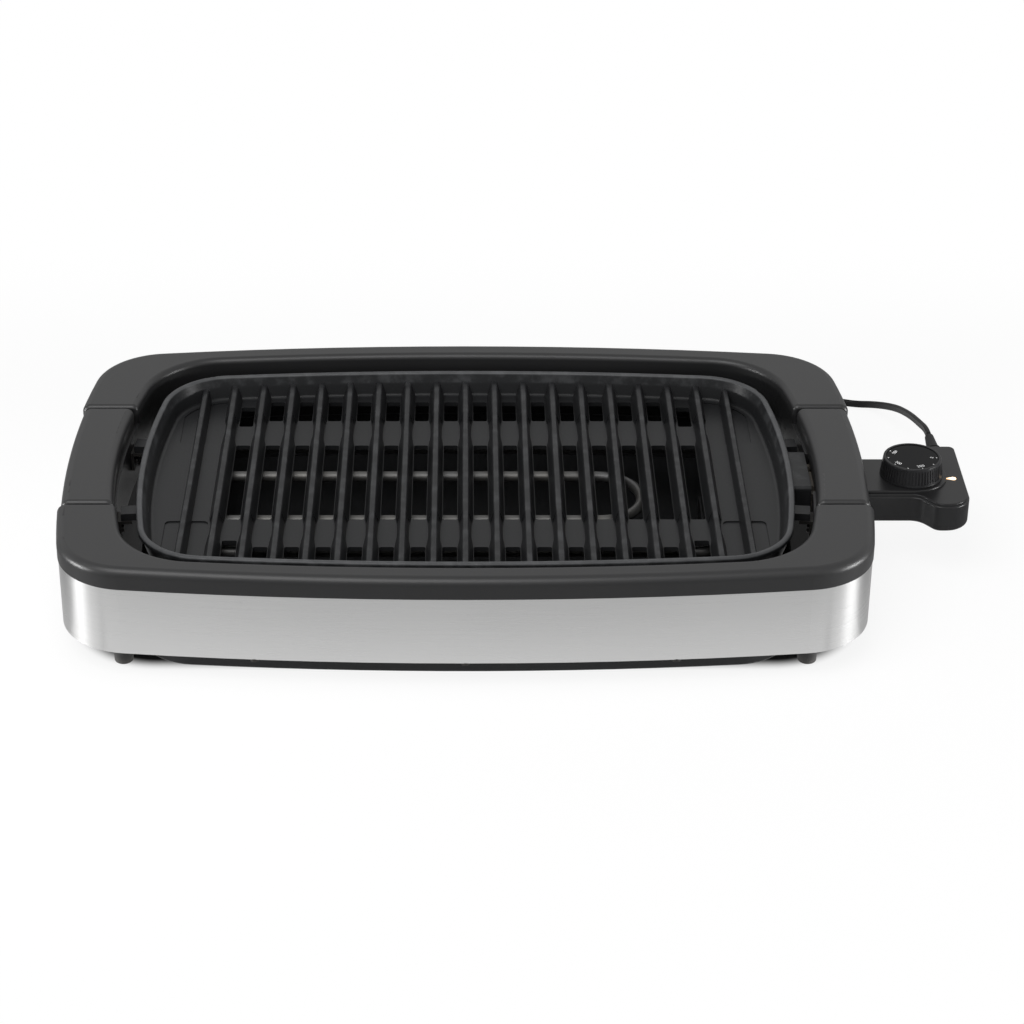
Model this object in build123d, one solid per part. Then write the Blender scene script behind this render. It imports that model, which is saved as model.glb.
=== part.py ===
from build123d import *
import math
import os

# A smokeless indoor grill: a ribbed grill plate with its own heating element
# hangs over a drip tray inside an open base ring, and a plug-in temperature
# control stands out of the right side. Millimetres, +Z up, the table at Z = 0,
# the front towards -Y. Pieces are drawn about the middle of the base, and the
# whole is shifted at the end so that its outer box is centred on the origin.

# Base ring in plan and height
BODY_LENGTH = 523.6
BODY_DEPTH = 322.6
BODY_END_RADIUS = 800.0
BODY_SIDE_RADIUS = 1945.0
BODY_CORNER = 48.0
FRAME_TOP = 79.0
BAND_TOP = 65.0
BAND_BOTTOM = 19.0
WALL = 3.0
TOP_EDGE = 5.5
INNER_EDGE = 4.0
INNER_WALL_BOTTOM = 30.0

# Opening of the ring, where the plate and the tray hang
OPENING_LENGTH = 452.0
OPENING_DEPTH = 288.0
OPENING_END_RADIUS = 480.0
OPENING_SIDE_RADIUS = 1928.0
OPENING_CORNER = 52.0

# Handles: saddle caps over the two end beams
HANDLE_SPAN = 129.0
SEAM = 2.0
SEAM_EDGE = 3.0
CAP_WALL = 3.3
HANDLE_SET_BACK = 1.5
HANDLE_OUTER_STEP = 2.2
HANDLE_INNER_EDGE = 5.0
CAP_BOSS_Y = 42.0
CAP_BOSS_RADIUS = 4.0
CAP_BOSS_DROP = 0.3

# Steel band round the ring
BAND_SET_BACK = 0.5
BAND_SHEET = 0.8
BAND_FLANGE = 5.0
BAND_PLAY = 0.2
BAND_SCREW_PITCH = 130.0
BAND_BOSS_RADIUS = 3.6
BAND_BOSS_HEIGHT = 14.0

# Feet
FOOT_X = 214.5
FOOT_Y = 127.0
FOOT_RADIUS = 6.5
FOOT_SOLE_RADIUS = 5.9
FOOT_BOSS_RADIUS = 7.0
FOOT_RIB_ANGLE = 41.0
FOOT_RIB_REACH = 10.2
FOOT_SCREW_RECESS = 6.0

# Screws, in three sizes: (head radius, head height, shank radius, shank length)
LARGE_SCREW = (5.0, 2.0, 1.6, 8.0)
SMALL_SCREW = (2.8, 1.6, 1.2, 6.0)
TINY_SCREW = (2.2, 1.3, 1.0, 3.0)
SCREW_PLAY = 0.05
CROSS_WIDTH = 0.7

# Ledges and brackets inside the ring
BRACKET_Y = 46.0
BRACKET_WIDTH = 13.0
BRACKET_REACH = 9.0
BRACKET_SHEET = 2.0
BRACKET_LEG = 13.0
LUG_WIDTH = 11.0
LUG_THICK = 5.0
LUG_TOP = 62.0
LUG_GAP = 2.2
LUG_ROOT = 3.2
LEDGE_Y = 80.0
LEDGE_WIDTH = 18.0
LEDGE_REACH = 7.5
LEDGE_TOP = 32.8

# Grill plate
PLATE_LENGTH = 426.0
PLATE_DEPTH = 264.0
PLATE_END_RADIUS = 560.0
PLATE_SIDE_RADIUS = 1915.0
PLATE_CORNER = 46.0
PLATE_RIM_TOP = 73.0
PLATE_RIM_THICK = 3.5
PLATE_RIM_WIDTH = 3.6
PLATE_RIM_EDGE = 1.5
PLATE_FLOOR = 57.5
PLATE_FLOOR_THICK = 3.0
PLATE_WALL_DRAFT = 4.8
PLATE_WALL = 3.0
PLATE_FLOOR_FILLET = 2.5
RIB_COUNT = 19
RIB_PITCH = 19.95
RIB_TOP = 67.0
RIB_SLIM_FOOT = 7.6
RIB_WIDE_FOOT = 10.0
RIB_SLANT = 5.0
RIB_ROOT = 1.2
RIB_TOP_WIDTH = 3.2
RIB_EDGE = 1.3

# Grease slots between the ribs: a long one in the middle and one near each wall
SLOT_ROWS = 16
SLOT_WIDTH = 9.5
SLOT_CORNER = 1.5
MIDDLE_SLOT_HALF = 50.0
END_SLOT_START = 85.0
END_SLOT_LENGTH = 28.0
OUTER_ROW_SHIFT = 8.0

# Shallow steps in the four corners of the plate's floor
RECESS_IN = 165.0
RECESS_OUT = 192.7
RECESS_START_Y = 52.0
RECESS_DEPTH = 0.8
RECESS_CORNER = 3.5
RECESS_INSET = 12.0

# Heating element: one bent tube with four long runs under the plate
ELEMENT_RADIUS = 3.5
ELEMENT_Z = 45.0
ELEMENT_LEFT = -172.0
ELEMENT_OUTER_Y = 69.5
ELEMENT_INNER_Y = 29.6
ELEMENT_TURN_X = 116.0
ELEMENT_SHOULDER_X = 158.0
ELEMENT_NECK_X = 184.0
ELEMENT_END_X = 200.0
ELEMENT_BEND = 15.0
HAIRPIN_PLAY = 0.4
CLIP_THICK = 1.2
CLIP_WIDTH = 8.0
CLIP_FOOT = 7.0
CLIP_PLAY = 0.1
CLIP_BOSS_EDGE = 0.5

# Terminals, shroud and sensor channel on the plate
PIN_Y = 13.0
PIN_RADIUS = 2.5
PIN_END_X = 222.0
INSULATOR_RADIUS = 4.3
INSULATOR_LENGTH = 4.5
SHROUD_HALF_WIDTH = 25.0
SHROUD_TOP = 67.0
SHROUD_BOTTOM = 45.0
SHROUD_IN = 204.0
SHROUD_OUT = 224.5
SHROUD_SHEET = 1.5
SHROUD_FOOT = 12.0
SHROUD_FOOT_WIDTH = 7.0
CHANNEL_IN = 164.0
CHANNEL_OUT = 202.5
CHANNEL_HALF_WIDTH = 6.2
CHANNEL_BOTTOM = 46.0
CHANNEL_PLAY = 0.3

# Drip tray
TRAY_LENGTH = 424.0
TRAY_DEPTH = 285.0
TRAY_END_RADIUS = 900.0
TRAY_CORNER = 38.0
TRAY_BOTTOM = 0.5
TRAY_TOP = 34.0
TRAY_SHEET = 1.2
TRAY_EDGE = 2.0
TRAY_TAB_WIDTH = 16.0
TRAY_TAB_GAP = 2.5
TRAY_NOTCH_X = 157.0
TRAY_NOTCH_HALF = 22.0

# Temperature control
CONTROL_REACH = 66.0
NECK_FRONT = -25.5
NECK_BACK = 23.0
NECK_IN = 228.0
HEAD_FRONT = -38.5
HEAD_BACK = 42.3
HEAD_FRONT_LEFT = 300.0
HEAD_FRONT_SLANT = 5.0
HEAD_BACK_LEFT = 288.0
HEAD_LARGE_CORNER = 16.0
HEAD_SMALL_CORNER = 5.0
CONTROL_BOTTOM = 41.2
CONTROL_SPLIT = 60.0
HEAD_TOP = 61.6
CONTROL_TOP = 63.3
CONTROL_WALL = 2.2
CONTROL_BOTTOM_EDGE = 3.0
LID_STEP = 0.9
LID_TOP_STEP = 2.4
LID_EDGE = 0.7
CONTROL_TOP_EDGE = 1.6
LID_LIP = 2.4
LIP_PLAY = 0.1
PORT_PLAY = 1.0
SILL_GAP = 0.3
SILL_THICK = 2.5

# Contacts and sensor inside the control
AXIS_Z = 50.0
ROD_RADIUS = 3.0
ROD_TIP_X = 166.0
ROD_END_X = 266.0
CARRIER_IN = 210.0
CARRIER_OUT = 244.0
CARRIER_HALF_WIDTH = 20.5
CARRIER_TOP = 59.5
CARRIER_PLAY = 0.3
FORK_SHEET = 0.8
FORK_TOP = 55.0
FORK_PLAY = 0.15
FORK_OUT = 238.0
FORK_FLOOR_GAP = 0.5
BRACKET_PLATE = 1.5
BRACKET_PLATE_X = 262.0
BRACKET_PLATE_HALF = 12.0
BRACKET_PLATE_TOP = 57.0
STACK_X = 273.0
STACK_Y = 0.0
STACK_RADIUS = 3.2
SPACER_HEIGHT = 2.2
BLADE_THICK = 0.5
BLADE_WIDTH = 6.0
BLADE_LENGTH = 27.0
LEAD_RADIUS = 1.1

# Knob and dial
KNOB_X = 292.6
KNOB_GAP = 0.4
KNOB_RADIUS = 20.5
KNOB_TOP_RADIUS = 18.8
KNOB_TOP = 76.3
KNOB_WALL = 2.0
KNOB_ROOF = 2.4
KNOB_EDGE = 0.7
GRIP_COUNT = 60
GRIP_DEPTH = 0.45
GRIP_WIDTH = 0.9
DIAL_RADIUS = 17.0
DIAL_THICK = 0.8
DIAL_RECESS = 0.5
DIAL_PLAY = 0.1
SHAFT_RADIUS = 3.0
SHAFT_BOTTOM = 51.0
SHAFT_PLAY = 0.08
SOCKET_RADIUS = 5.2

# Pilot light
LENS_X = 320.0
LENS_Y = -3.5
LENS_LENGTH = 7.4
LENS_RADIUS = 1.9
LENS_PROUD = 0.3
LENS_SHOULDER = 1.0
LAMP_RADIUS = 1.6
LAMP_BOTTOM = 50.0

# Strain relief, cord and plug
CORD = 5.2
RELIEF_X = 315.5
RELIEF_Z = 53.2
RELIEF_RINGS = 3
RELIEF_RING_RADIUS = 6.1
RELIEF_RING_STEP = 0.35
RELIEF_RING_WIDTH = 1.9
RELIEF_GROOVE = 1.2
RELIEF_ROOT_RADIUS = 4.2
RELIEF_TAPER = 18.0
RELIEF_TIP_RADIUS = 3.0
RELIEF_FLANGE = 2.0
RELIEF_NECK_RADIUS = 4.3
COIL_X = 205.0
COIL_Y = 215.0
COIL_RADIUS = 32.0
COIL_PITCH = 6.0
COIL_LAYER = 5.9
COIL_INWARD_TURNS = 1.25
COIL_CLIMB_TURNS = 0.5
COIL_OUTWARD_TURNS = 1.25
COIL_START_ANGLE = 90.0
PLUG_LENGTH = 28.0
PLUG_WIDTH = 25.0
PLUG_THICK = 14.0
PLUG_NECK = 9.0
PLUG_NECK_RADIUS = 5.0
PLUG_FACE_X = 150.0
PRONG_LENGTH = 17.5
PRONG_WIDTH = 6.3
PRONG_THICK = 1.5
PRONG_SPACING = 12.7

RELIEF_END = HEAD_BACK + RELIEF_RINGS * (RELIEF_RING_WIDTH + RELIEF_GROOVE) + RELIEF_TAPER
TABLE_Z = CORD / 2 + 0.1
COIL_BACK_Y = COIL_Y + COIL_RADIUS

# The cord's free route from the strain relief to the coil, chosen point by point
CORD_ROUTE = [
    (RELIEF_X, RELIEF_END, RELIEF_Z),
    (RELIEF_X, 80.5, RELIEF_Z),
    (314.2, 102.0, 46.8),
    (312.4, 124.0, 40.6),
    (310.4, 146.0, 33.0),
    (308.5, 168.0, 24.3),
    (303.8, 189.0, 15.3),
    (297.0, 206.0, 7.5),
    (288.5, 215.5, TABLE_Z),
    (277.0, 218.5, TABLE_Z),
    (262.0, 225.0, TABLE_Z),
    (245.0, 237.0, TABLE_Z),
    (227.5, COIL_BACK_Y, TABLE_Z),
    (COIL_X + CORD, COIL_BACK_Y, TABLE_Z),
]

# From the top of the coil to the plug
TAIL_ROUTE = [
    (COIL_X - CORD, COIL_BACK_Y, TABLE_Z + COIL_LAYER),
    (184.0, COIL_BACK_Y, TABLE_Z + COIL_LAYER),
    (168.0, COIL_BACK_Y, PLUG_THICK / 2),
    (PLUG_FACE_X + PLUG_NECK, COIL_BACK_Y, PLUG_THICK / 2),
]


class Plan:
    """A bowed rectangle seen from above: two long arcs, two end arcs, rounded corners."""

    def __init__(self, length, depth, end_radius, side_radius, corner):
        self.length = length
        self.depth = depth
        self.end_radius = end_radius
        self.side_radius = side_radius
        self.corner = corner

    def grown(self, grow):
        """The parallel outline, grow further out."""
        return Plan(self.length + 2 * grow, self.depth + 2 * grow, self.end_radius + grow,
                    self.side_radius + grow, self.corner + grow)

    def end_x(self, y):
        return self.length / 2 - self.end_radius + math.sqrt(self.end_radius ** 2 - y ** 2)

    def side_y(self, x):
        return self.depth / 2 - self.side_radius + math.sqrt(self.side_radius ** 2 - x ** 2)

    def corner_point(self):
        """Where the right end arc and the rear long arc would cross."""
        end_centre = self.length / 2 - self.end_radius
        side_centre = self.depth / 2 - self.side_radius
        apart = math.hypot(end_centre, side_centre)
        along = (self.end_radius ** 2 - self.side_radius ** 2 + apart ** 2) / (2 * apart)
        across = math.sqrt(self.end_radius ** 2 - along ** 2)
        step_x = -end_centre / apart
        step_y = side_centre / apart
        return (end_centre + along * step_x - across * step_y,
                along * step_y + across * step_x)

    def face(self):
        x, y = self.corner_point()
        half_length = self.length / 2
        half_depth = self.depth / 2
        arcs = [
            ThreePointArc((x, -y), (half_length, 0), (x, y)),
            ThreePointArc((x, y), (0, half_depth), (-x, y)),
            ThreePointArc((-x, y), (-half_length, 0), (-x, -y)),
            ThreePointArc((-x, -y), (0, -half_depth), (x, -y)),
        ]
        outline = make_face(arcs)
        return fillet(outline.vertices(), radius=self.corner)

    def prism(self, low, high):
        return extrude(Pos(0, 0, low) * self.face(), amount=high - low)


BODY = Plan(BODY_LENGTH, BODY_DEPTH, BODY_END_RADIUS, BODY_SIDE_RADIUS, BODY_CORNER)
OPENING = Plan(OPENING_LENGTH, OPENING_DEPTH, OPENING_END_RADIUS, OPENING_SIDE_RADIUS,
               OPENING_CORNER)
PLATE = Plan(PLATE_LENGTH, PLATE_DEPTH, PLATE_END_RADIUS, PLATE_SIDE_RADIUS, PLATE_CORNER)
TRAY = Plan(TRAY_LENGTH, TRAY_DEPTH, TRAY_END_RADIUS, BODY_SIDE_RADIUS, TRAY_CORNER)

# Heights and places that follow from the sizes above
PLATE_BOTTOM = PLATE_FLOOR - PLATE_FLOOR_THICK
BRACKET_TOP = LUG_TOP - LUG_THICK
PORT_FRONT = NECK_FRONT - PORT_PLAY
PORT_BACK = NECK_BACK + PORT_PLAY
CLIP_SEAT = ELEMENT_Z + ELEMENT_RADIUS + CLIP_PLAY
PORT_BOTTOM = CONTROL_BOTTOM - SILL_GAP
HOUSING_BOTTOM = BAND_BOTTOM + BAND_SHEET + BAND_PLAY
HOUSING_SET_BACK = BAND_SET_BACK + BAND_SHEET + BAND_PLAY
CONTROL_END = BODY_LENGTH / 2 + CONTROL_REACH
HANDLE_HALF = HANDLE_SPAN / 2
CORE_HALF = HANDLE_HALF + SEAM
CAP_UNDERSIDE = FRAME_TOP - CAP_WALL
FAR = 2 * BODY_LENGTH


def block(low, high):
    """A box from its lowest to its highest corner."""
    size = [top - bottom for top, bottom in zip(high, low)]
    middle = [(top + bottom) / 2 for top, bottom in zip(high, low)]
    return Pos(*middle) * Box(*size)


def rod(radius, low, high, x=0.0, y=0.0):
    """An upright cylinder from low to high."""
    return Pos(x, y, (low + high) / 2) * Cylinder(radius, high - low)


def bar_x(radius, low, high, y=0.0, z=0.0):
    """A cylinder along X from low to high."""
    return Pos((low + high) / 2, y, z) * Rot(0, 90, 0) * Cylinder(radius, high - low)


def bar_y(radius, low, high, x=0.0, z=0.0):
    """A cylinder along Y from low to high."""
    return Pos(x, (low + high) / 2, z) * Rot(90, 0, 0) * Cylinder(radius, high - low)


def screw(size):
    """A cross-head screw pointing up, with its head's underside at Z = 0."""
    head_radius, head_height, shank_radius, length = size
    body = rod(head_radius, -head_height, 0) + rod(shank_radius, 0, length)
    slot = head_height / 2
    arm = head_radius * 0.6
    half = CROSS_WIDTH / 2
    body -= block((-arm, -half, -head_height), (arm, half, -head_height + slot))
    return body - block((-half, -arm, -head_height), (half, arm, -head_height + slot))


def screw_hole(size):
    """The hole that a screw's shank fills."""
    return rod(size[2] + SCREW_PLAY, -1, size[3] + 0.3)


def both_ends(piece):
    """A piece on the right end and its twin on the left, turned half round."""
    return [piece, Rot(0, 0, 180) * piece]


def end_places(plan, y):
    """Seats on an end wall at +y and -y, each with +X square to the wall, for both ends."""
    places = []
    for sign in (1, -1):
        angle = math.degrees(math.asin(y / plan.end_radius)) * sign
        seat = Pos(plan.end_x(y), y * sign, 0) * Rot(0, 0, angle)
        places += [seat, Rot(0, 0, 180) * seat]
    return places


def band_screw_places():
    """Where the band's flange is screwed to the ring, front and rear."""
    line = BODY.grown(-HOUSING_SET_BACK - WALL / 2)
    xs = [-BAND_SCREW_PITCH, 0.0, BAND_SCREW_PITCH]
    return [Pos(x, sign * line.side_y(x), BAND_BOTTOM) for x in xs for sign in (1, -1)]


def foot_places():
    return {
        "foot_front_left": Pos(-FOOT_X, -FOOT_Y, 0),
        "foot_front_right": Pos(FOOT_X, -FOOT_Y, 0),
        "foot_rear_left": Pos(-FOOT_X, FOOT_Y, 0),
        "foot_rear_right": Pos(FOOT_X, FOOT_Y, 0),
    }


def foot_post(place):
    """A tall post from the ring's roof down to a foot, with a rib to the inner wall."""
    roof = FRAME_TOP - WALL + 0.5
    to_wall = math.radians(FOOT_RIB_ANGLE)
    inward = math.degrees(math.atan2(-math.copysign(math.sin(to_wall), place.position.Y),
                                     -math.copysign(math.cos(to_wall), place.position.X)))
    rib_wall = block((FOOT_BOSS_RADIUS - 1, -1, INNER_WALL_BOTTOM), (FOOT_RIB_REACH, 1, roof))
    return place * (rod(FOOT_BOSS_RADIUS, HOUSING_BOTTOM, roof) + Rot(0, 0, inward) * rib_wall)


def cap_screw_places():
    """Four bosses under each handle cap, two of them on each side of its middle."""
    beam = (BODY_LENGTH / 2 + OPENING_LENGTH / 2) / 2
    return [Pos(side * beam, sign * CAP_BOSS_Y, 0) for side in (1, -1) for sign in (1, -1)]


def frame_envelope(outer_step, set_back, inner_edge):
    """The upper black frame as a solid ring with its rounded edges."""
    ring = BODY.grown(-outer_step).prism(BAND_TOP, FRAME_TOP)
    ring = fillet(ring.edges().group_by(Axis.Z)[-1], radius=TOP_EDGE)
    ring -= OPENING.grown(set_back).prism(BAND_TOP - 1, FRAME_TOP + 1)
    inner = [edge for edge in ring.edges().group_by(Axis.Z)[-1]
             if abs(edge.center().Y) < OPENING.depth / 2 + set_back + 1
             and abs(edge.center().X) < OPENING.length / 2 + set_back + 1]
    return fillet(inner, radius=inner_edge)


def seam_edges(piece, y):
    """The edges of a piece's cut ends, apart from the flat bottom ones."""
    return [edge for edge in piece.edges()
            if all(abs(abs(vertex.Y) - y) < 0.01 for vertex in edge.vertices())
            and edge.bounding_box().max.Z > BAND_TOP + 0.01]


def rails():
    """Front and rear rails of the frame, up to the handle seams."""
    ring = frame_envelope(0, 0, INNER_EDGE)
    ring -= block((-FAR, -CORE_HALF, 0), (FAR, CORE_HALF, FRAME_TOP + 1))
    return fillet(seam_edges(ring, CORE_HALF), radius=SEAM_EDGE)


def handle_core(extra, low, high):
    """The end beams under the handle caps, extra further in than the caps' inside."""
    core = BODY.grown(-HANDLE_OUTER_STEP - CAP_WALL - extra).prism(low, high)
    return core - OPENING.grown(HANDLE_SET_BACK + CAP_WALL + extra).prism(low - 1, high + 1)


def housing():
    """The base ring: rails, end beams, skirt, inner wall, bosses, ledges and the port."""
    skirt = BODY.grown(-HOUSING_SET_BACK)
    inside = skirt.grown(-WALL)
    low_ring = skirt.prism(HOUSING_BOTTOM, BAND_TOP) - OPENING.prism(0, FRAME_TOP)
    half = CORE_HALF + WALL
    end_zone = block((-FAR, -half, BAND_TOP - WALL), (FAR, half, FRAME_TOP))
    cap_zone = block((-FAR, -CORE_HALF, BAND_TOP - WALL), (FAR, CORE_HALF, FRAME_TOP))
    core = handle_core(0, BAND_TOP - WALL, CAP_UNDERSIDE) & end_zone
    body = rails() + low_ring + core
    hollow = inside.prism(HOUSING_BOTTOM - 1, FRAME_TOP - WALL)
    hollow -= OPENING.grown(WALL).prism(0, FRAME_TOP)
    body -= hollow - end_zone
    body -= handle_core(WALL, BAND_TOP - 2 * WALL, CAP_UNDERSIDE - WALL) & cap_zone
    body -= inside.prism(HOUSING_BOTTOM - 1, INNER_WALL_BOTTOM)
    for place in foot_places().values():
        body += foot_post(place)
        body -= place * Pos(0, 0, FOOT_SCREW_RECESS) * long_foot_hole()
    for place in band_screw_places():
        top = HOUSING_BOTTOM + BAND_BOSS_HEIGHT
        post = Pos(place.position.X, place.position.Y, 0) * rod(BAND_BOSS_RADIUS, HOUSING_BOTTOM, top)
        body += post & skirt.prism(0, BAND_TOP)
        body -= place * screw_hole(SMALL_SCREW)
    for place in end_places(OPENING, LEDGE_Y):
        low = LEDGE_TOP - (LEDGE_TOP - INNER_WALL_BOTTOM)
        ledge = block((-LEDGE_REACH, -LEDGE_WIDTH / 2, low), (WALL / 2, LEDGE_WIDTH / 2, LEDGE_TOP))
        body += place * ledge
    body += port_tunnel(skirt)
    body -= block((SHROUD_IN, PORT_FRONT, PORT_BOTTOM), (BODY_LENGTH / 2 + 1, PORT_BACK, BAND_TOP))
    for place in cap_screw_places():
        hole = CAP_BOSS_RADIUS + CAP_BOSS_DROP
        body -= place * rod(hole, CAP_UNDERSIDE - WALL - 1, CAP_UNDERSIDE + 1)
    for place in end_places(OPENING, BRACKET_Y):
        body -= place * bracket_screw_seat() * screw_hole(SMALL_SCREW)
    return body


def long_foot_hole():
    """The foot screw's hole, through the foot and into its post."""
    return rod(LARGE_SCREW[2] + SCREW_PLAY, 0, foot_screw_length() + 0.5)


def foot_screw_length():
    return HOUSING_BOTTOM - FOOT_SCREW_RECESS + LARGE_SCREW[3]


def port_tunnel(skirt):
    """Walls of the port that the control's neck passes through."""
    walls = block((OPENING_LENGTH / 2 - 10, PORT_FRONT - WALL, PORT_BOTTOM - SILL_THICK),
                  (BODY_LENGTH / 2, PORT_BACK + WALL, BAND_TOP + SILL_THICK))
    return walls & (skirt.prism(0, BAND_TOP + SILL_THICK) - OPENING.prism(0, FRAME_TOP)
                    - end_cap_space())


def end_cap_space():
    """The room that the handle caps take above the band."""
    above = BODY.prism(BAND_TOP, FRAME_TOP)
    return above - handle_core(0, BAND_TOP - 1, CAP_UNDERSIDE)


def handle(side):
    """One saddle cap, side +1 on the right and -1 on the left."""
    shell = frame_envelope(HANDLE_OUTER_STEP, HANDLE_SET_BACK, HANDLE_INNER_EDGE)
    keep = block((0, -HANDLE_HALF, BAND_TOP), (FAR, HANDLE_HALF, FRAME_TOP))
    cap = shell & keep
    cap = fillet(seam_edges(cap, HANDLE_HALF), radius=SEAM_EDGE)
    cap -= handle_core(0, BAND_TOP - 1, CAP_UNDERSIDE)
    for place in cap_screw_places():
        if place.position.X > 0:
            post = rod(CAP_BOSS_RADIUS, CAP_UNDERSIDE - WALL + CAP_BOSS_DROP, CAP_UNDERSIDE + 0.5)
            cap += place * post
            seat = Pos(0, 0, CAP_UNDERSIDE - WALL)
            cap -= place * seat * rod(cap_screw_size()[2] + SCREW_PLAY, 0, cap_screw_size()[3] + 0.2)
    return cap if side > 0 else Rot(0, 0, 180) * cap


def cap_screw_size():
    """A wide-headed screw that is shorter than the boss and the cap together."""
    return (CAP_BOSS_RADIUS + 2.0, LARGE_SCREW[1], LARGE_SCREW[2], WALL + CAP_WALL - 1.3)


def handle_screws():
    seat = Pos(0, 0, CAP_UNDERSIDE - WALL)
    return [place * seat * screw(cap_screw_size()) for place in cap_screw_places()]


def steel_band():
    """The sheet steel band with its turned-in lower flange and the notch for the control."""
    outer = BODY.grown(-BAND_SET_BACK)
    band = outer.prism(BAND_BOTTOM, BAND_TOP)
    band -= outer.grown(-BAND_SHEET).prism(BAND_BOTTOM + BAND_SHEET, BAND_TOP + 1)
    band -= outer.grown(-BAND_FLANGE).prism(0, BAND_TOP)
    for place in band_screw_places():
        band -= place * screw_hole(SMALL_SCREW)
    return band - block((NECK_IN, PORT_FRONT, PORT_BOTTOM), (FAR, PORT_BACK, BAND_TOP + 1))


def band_screws():
    return [place * screw(SMALL_SCREW) for place in band_screw_places()]


def bracket_screw_seat():
    """Where a bracket's screw goes into the wall, pointing outwards."""
    return Pos(-BRACKET_SHEET, 0, BRACKET_TOP - BRACKET_LEG + 4.5) * Rot(0, 90, 0)


def plate_brackets():
    """Four steel angles on the ring's inner wall, which carry the plate's lugs."""
    half = BRACKET_WIDTH / 2
    angle = block((-BRACKET_REACH, -half, BRACKET_TOP - BRACKET_SHEET), (0, half, BRACKET_TOP))
    angle += block((-BRACKET_SHEET, -half, BRACKET_TOP - BRACKET_LEG), (0, half, BRACKET_TOP))
    outside = Rot(0, 0, 0) * OPENING.prism(0, FRAME_TOP)
    pieces = []
    for place in end_places(OPENING, BRACKET_Y):
        piece = (place * angle) & outside
        pieces.append(piece - place * bracket_screw_seat() * screw_hole(SMALL_SCREW))
    return pieces


def bracket_screws():
    return [place * bracket_screw_seat() * screw(SMALL_SCREW)
            for place in end_places(OPENING, BRACKET_Y)]


def foot():
    """A rubber peg, a little narrower at the sole, with a recess for its screw."""
    blank = Cone(FOOT_SOLE_RADIUS, FOOT_RADIUS, HOUSING_BOTTOM)
    blank = fillet(blank.edges().group_by(Axis.Z)[0], radius=1.2)
    peg = Pos(0, 0, HOUSING_BOTTOM / 2) * blank
    peg -= rod(LARGE_SCREW[2] + 2.0, -1, FOOT_SCREW_RECESS)
    return peg - Pos(0, 0, FOOT_SCREW_RECESS) * long_foot_hole()


def foot_screws():
    size = (LARGE_SCREW[2] + 1.7, LARGE_SCREW[1], LARGE_SCREW[2], foot_screw_length())
    return [place * Pos(0, 0, FOOT_SCREW_RECESS) * screw(size)
            for place in foot_places().values()]


def rib_positions():
    middle = (RIB_COUNT - 1) / 2
    return [(index - middle) * RIB_PITCH for index in range(RIB_COUNT)]


def channel_positions():
    middle = (SLOT_ROWS - 1) / 2
    return [(index - middle) * RIB_PITCH for index in range(SLOT_ROWS)]


def plate_shell(grow=0.0):
    """The plate's outer form below its lip, drafted towards the bottom."""
    lip_bottom = PLATE_RIM_TOP - PLATE_RIM_THICK
    upper = PLATE.grown(grow - PLATE_RIM_WIDTH + PLATE_WALL - 0.5)
    lower = upper.grown(-PLATE_WALL_DRAFT)
    return loft([Pos(0, 0, PLATE_BOTTOM) * lower.face(), Pos(0, 0, lip_bottom) * upper.face()],
                ruled=True)


def plate_cavity():
    """The space over the plate's floor, inside its sloping walls."""
    upper = PLATE.grown(-PLATE_RIM_WIDTH)
    lower = upper.grown(-PLATE_WALL_DRAFT)
    space = loft([Pos(0, 0, PLATE_FLOOR) * lower.face(), Pos(0, 0, PLATE_RIM_TOP) * upper.face()],
                 ruled=True)
    return fillet(space.edges().group_by(Axis.Z)[0], radius=PLATE_FLOOR_FILLET)


def rib_section(foot_width):
    """A rib's cross-section: upright root in the floor, sloping flanks, rounded ridge."""
    foot = foot_width / 2
    top = RIB_TOP_WIDTH / 2
    root = PLATE_FLOOR - RIB_ROOT
    outline = Polyline((-foot, root), (-foot, PLATE_FLOOR), (-top, RIB_TOP), (top, RIB_TOP),
                       (foot, PLATE_FLOOR), (foot, root), close=True)
    section = Plane.XZ * make_face(outline)
    return fillet(section.vertices().group_by(Axis.Z)[-1], radius=RIB_EDGE)


def slim_rib():
    """A rib as it is beside the closed floor, long enough to reach both walls."""
    return extrude(rib_section(RIB_SLIM_FOOT), amount=PLATE_DEPTH, both=True)


def swelling(start, end):
    """The stretch of a rib beside a slot: a wider foot with slanted ends."""
    slim = RIB_SLIM_FOOT / 2
    wide = RIB_WIDE_FOOT / 2
    plan = Polyline((-slim, start), (-wide, start + RIB_SLANT), (-wide, end - RIB_SLANT),
                    (-slim, end), (slim, end), (wide, end - RIB_SLANT), (wide, start + RIB_SLANT),
                    (slim, start), close=True)
    column = extrude(Pos(0, 0, PLATE_FLOOR - RIB_ROOT) * make_face(plan), amount=RIB_TOP)
    return extrude(rib_section(RIB_WIDE_FOOT), amount=PLATE_DEPTH, both=True) & column


def rib():
    """A rib that runs between two rows of slots."""
    middle = MIDDLE_SLOT_HALF + RIB_SLANT
    outer = END_SLOT_START - RIB_SLANT
    return slim_rib() + [swelling(-middle, middle), swelling(outer, PLATE_DEPTH),
                         swelling(-PLATE_DEPTH, -outer)]


def slot(length):
    outline = RectangleRounded(SLOT_WIDTH, length, SLOT_CORNER)
    return extrude(Pos(0, 0, PLATE_BOTTOM - 1) * outline, amount=PLATE_FLOOR_THICK + 2)


def slots():
    """Every slot in its place; the two outermost rows have their end slots further in."""
    rows = channel_positions()
    cuts = []
    for x in rows:
        shift = OUTER_ROW_SHIFT if x in (rows[0], rows[-1]) else 0.0
        y = END_SLOT_START + END_SLOT_LENGTH / 2 - shift
        cuts += [Pos(x, 0, 0) * slot(2 * MIDDLE_SLOT_HALF), Pos(x, y, 0) * slot(END_SLOT_LENGTH),
                 Pos(x, -y, 0) * slot(END_SLOT_LENGTH)]
    return cuts


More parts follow.
